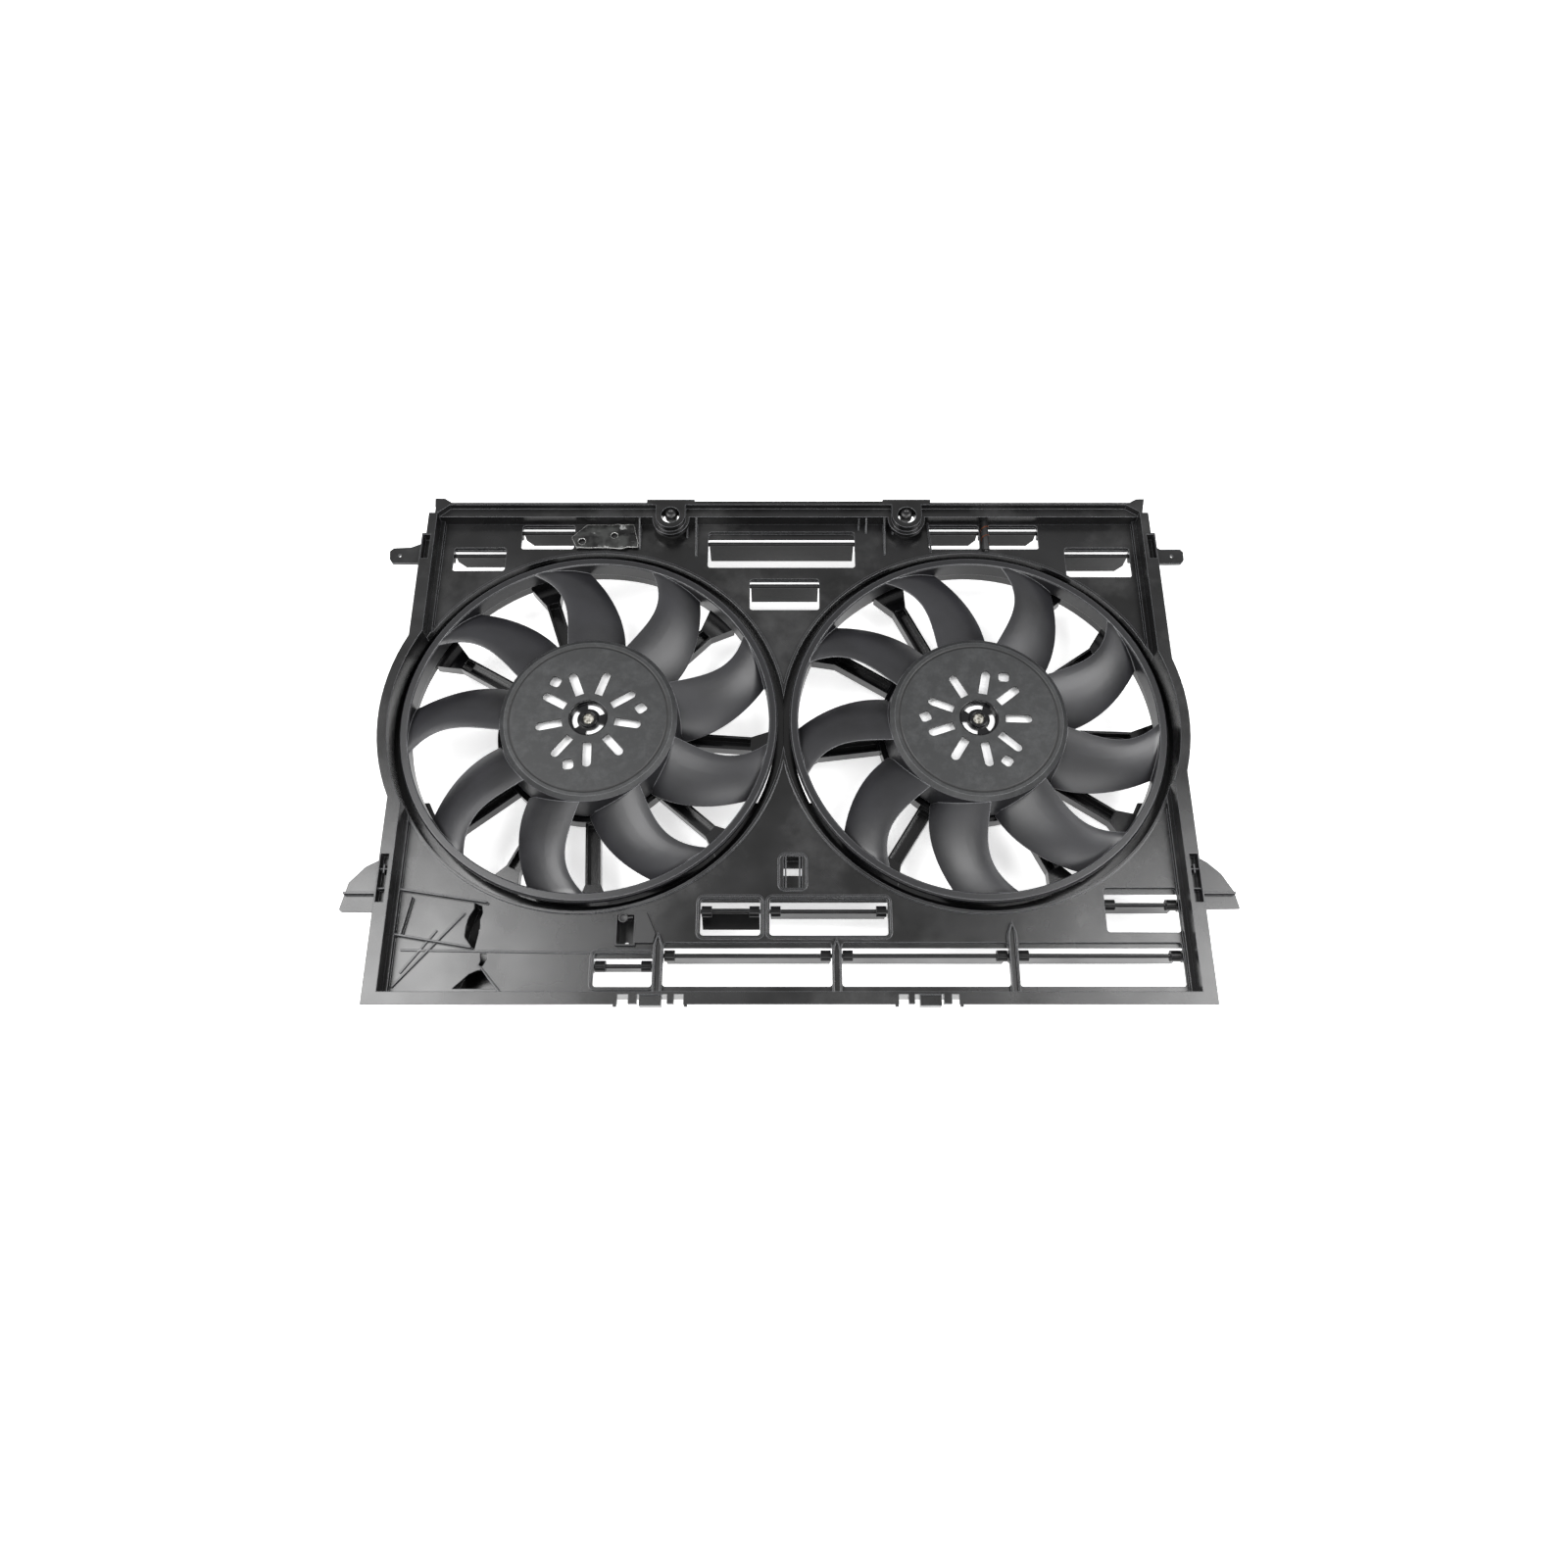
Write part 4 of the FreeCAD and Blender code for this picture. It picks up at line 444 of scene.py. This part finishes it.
def eye_bush(name, east):
    """Domed rubber bush against the upper side of an eye, dimpled in the middle."""
    north, level, radius, height = 241.8, 77, 6.2, 8
    bush = start_piece(name, bpy.ops.mesh.primitive_cylinder_add, (east, north, level), vertices=40,
                       radius=radius * MM, depth=height * MM)
    pick_faces(bush, lambda centre, normal: normal.z > FACING)
    # Shoulder, dome and dimple: how far in each ring steps, and how far it is then lifted
    for step, lift in ((1.4, 1.3), (2.2, 0.6), (1.0, -0.9)):
        inset(step)
        shift(0, 0, lift)
    finish_piece(bush, rubber, edge_mm=0.5)


def bent_bracket():
    """Thin sheet bracket, cut off at its upper left corner, with two holes and a crumpled right end."""
    place, width, height, thickness, crumpled_from = (-184.3, 222.2, 68.6), 67, 27, 1.1, -172
    sheet = start_piece("bent_bracket", bpy.ops.mesh.primitive_grid_add, place, size=1,
                        x_subdivisions=15, y_subdivisions=7)
    bpy.ops.object.mode_set(mode="EDIT")
    bpy.ops.mesh.select_all(action="SELECT")
    bpy.ops.transform.resize(value=(width * MM, height * MM, 1), center_override=[v * MM for v in place])
    bpy.ops.transform.vertex_random(offset=0.35 * MM, uniform=0.5, seed=4)
    pick_faces(sheet, lambda centre, normal: centre.x > crumpled_from)
    bpy.ops.transform.vertex_random(offset=1.9 * MM, uniform=0.4, seed=9)
    # Upper left corner, left end and right end: a point on each straight cut, and the way to what falls off
    for spot, away in (((-210, 229.5, 68), (-1, 1, 0)), ((-214, 211, 68), (-1, -0.45, 0)),
                       ((-152.2, 219, 68), (1, 0.25, 0))):
        bpy.ops.mesh.select_all(action="SELECT")
        bpy.ops.mesh.bisect(plane_co=[v * MM for v in spot], plane_no=away, clear_outer=True)
    bpy.ops.object.mode_set(mode="OBJECT")
    apply_modifier(sheet, "SOLIDIFY", thickness=thickness * MM, offset=0)
    for east, north, radius in ((-207.8, 216.3, 3.5), (-175.5, 223.4, 3.3)):
        punch = start_piece("punch", bpy.ops.mesh.primitive_cylinder_add, (east, north, 68), vertices=24,
                            radius=radius * MM, depth=14 * MM)
        apply_modifier(sheet, "BOOLEAN", operation="DIFFERENCE", object=punch, solver="EXACT")
        bpy.data.objects.remove(punch, do_unlink=True)
    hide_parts("bracket_plate")
    finish_piece(sheet, coated_sheet, edge_mm=0.25)


def window_rod():
    """Short dark rod between the two upper right windows, with a tapered shoulder and a pin at each end."""
    north, radius, length, shoulder, shoulder_step, pin, pin_step = 223, 3.5, 33, 0.9, 1.0, 1.5, 0.8
    rod = start_piece("window_rod", bpy.ops.mesh.primitive_cylinder_add, (ROD_EAST, north, ROD_LEVEL),
                      vertices=28, radius=radius * MM, depth=length * MM, rotation=(math.pi / 2, 0, 0))
    for way in (1, -1):
        pick_faces(rod, lambda centre, normal: normal.y * way > FACING)
        inset(shoulder_step)
        shift(0, way * shoulder, 0)
        inset(pin_step)
        pull(0, way * pin, 0)
    finish_piece(rod, plug_plastic, edge_mm=0.4)


def copper_tie():
    """Copper wire that winds round the rod a little over twice."""
    north, coil_radius, wire_radius, turns, length, steps = 214, 3.9, 0.45, 2.2, 22, 72
    tie = start_piece("copper_tie", bpy.ops.mesh.primitive_circle_add,
                      (ROD_EAST + coil_radius, north, ROD_LEVEL), vertices=10, radius=wire_radius * MM,
                      fill_type="NOTHING")
    # The screw winds about the piece's origin, so the rod's line is brought there and taken back
    start = [v * MM for v in (ROD_EAST, north, ROD_LEVEL)]
    tie.data.transform(Matrix.Translation([-v for v in start]))
    apply_modifier(tie, "SCREW", axis="Y", angle=math.radians(360 * turns), screw_offset=length * MM,
                   steps=steps, render_steps=steps, use_smooth_shade=True)
    tie.data.transform(Matrix.Translation(start))
    bpy.ops.object.mode_set(mode="EDIT")
    bpy.ops.mesh.select_all(action="SELECT")
    bpy.ops.mesh.remove_doubles(threshold=0.02 * MM)
    bpy.ops.mesh.fill_holes(sides=0)
    bpy.ops.mesh.normals_make_consistent(inside=False)
    finish_piece(tie, tie_wire, edge_mm=0.02)


def plug_ring():
    """Small moulded ring with a tongue, against the upper wall of the plug's mouth."""
    place, radius, height, rim, hollow, tongue = (-146.6, -174.4, 70), 4.3, 2.6, 1.3, 1.9, (4.5, 0.5, 0)
    ring = start_piece("plug_ring", bpy.ops.mesh.primitive_cylinder_add, place, vertices=32,
                       radius=radius * MM, depth=height * MM)
    pick_faces(ring, lambda centre, normal: normal.z > FACING)
    inset(rim)
    pull(0, 0, -hollow)
    # Only the two narrow outer faces that look most nearly to the right
    pick_faces(ring, lambda centre, normal: normal.x > 0.97 and centre.x > -143)
    pull(*tongue)
    finish_piece(ring, plug_plastic, edge_mm=0.3)


duct_lip("left")
duct_lip("right")
eye_bush("left_eye_bush", -EYE_EAST)
eye_bush("right_eye_bush", EYE_EAST)
bent_bracket()
window_rod()
copper_tie()
plug_ring()


# Floor, lamps and camera

def studio_floor():
    """Pale paper under the part, wide enough for every view, and glowing only where it is looked at."""
    bpy.ops.object.select_all(action="DESELECT")
    bpy.ops.mesh.primitive_plane_add(size=FLOOR_SIZE, location=(0, 0, 0))
    floor = bpy.context.object
    floor.name = "studio_floor"
    material, tree, surface = begin("white_paper")
    surface.inputs["Base Color"].default_value = linear("#f4f4f4")
    surface.inputs["Roughness"].default_value = 0.9
    path = add(tree, "LightPath")
    seen = compute(tree, "ADD", path.outputs["Is Camera Ray"], path.outputs["Is Glossy Ray"])
    seen = compute(tree, "ADD", seen, path.outputs["Is Transmission Ray"])
    surface.inputs["Emission Color"].default_value = (1, 1, 1, 1)
    tree.links.new(compute(tree, "MULTIPLY", seen, FLOOR_GLOW), surface.inputs["Emission Strength"])
    floor.data.materials.append(material)


def studio_world():
    """White all round for the camera, dimmer as a light."""
    world = bpy.data.worlds.new("studio")
    bpy.context.scene.world = world
    world.use_nodes = True
    tree = world.node_tree
    background = tree.nodes["Background"]
    background.inputs["Color"].default_value = (1, 1, 1, 1)
    seen = add(tree, "LightPath").outputs["Is Camera Ray"]
    strength = stretch(tree, seen, 0.0, 1.0, WORLD_AS_LIGHT, WORLD_AS_SEEN)
    tree.links.new(strength, background.inputs["Strength"])


def photo_camera():
    """The camera that took the photograph, as far as it could be fitted."""
    data = bpy.data.cameras.new("camera")
    data.lens = CAMERA_LENS
    data.sensor_width = CAMERA_SENSOR
    camera = bpy.data.objects.new("camera", data)
    bpy.context.scene.collection.objects.link(camera)
    camera.location = CAMERA_PLACE
    camera.rotation_euler = (CAMERA_TILT, 0, 0)
    bpy.context.scene.camera = camera


def soft_box(name, place, width, depth, power):
    """A rectangular lamp at a place, turned towards the middle of the floor."""
    data = bpy.data.lights.new(name, "AREA")
    data.shape = "RECTANGLE"
    data.size = width
    data.size_y = depth
    data.energy = power
    lamp = bpy.data.objects.new(name, data)
    bpy.context.scene.collection.objects.link(lamp)
    lamp.location = place
    lamp.rotation_euler = (Vector((0, 0, 0)) - Vector(place)).to_track_quat("-Z", "Y").to_euler()


studio_floor()
studio_world()
photo_camera()
for lamp_values in LAMPS:
    soft_box(*lamp_values)

bpy.context.scene.view_settings.view_transform = "Standard"
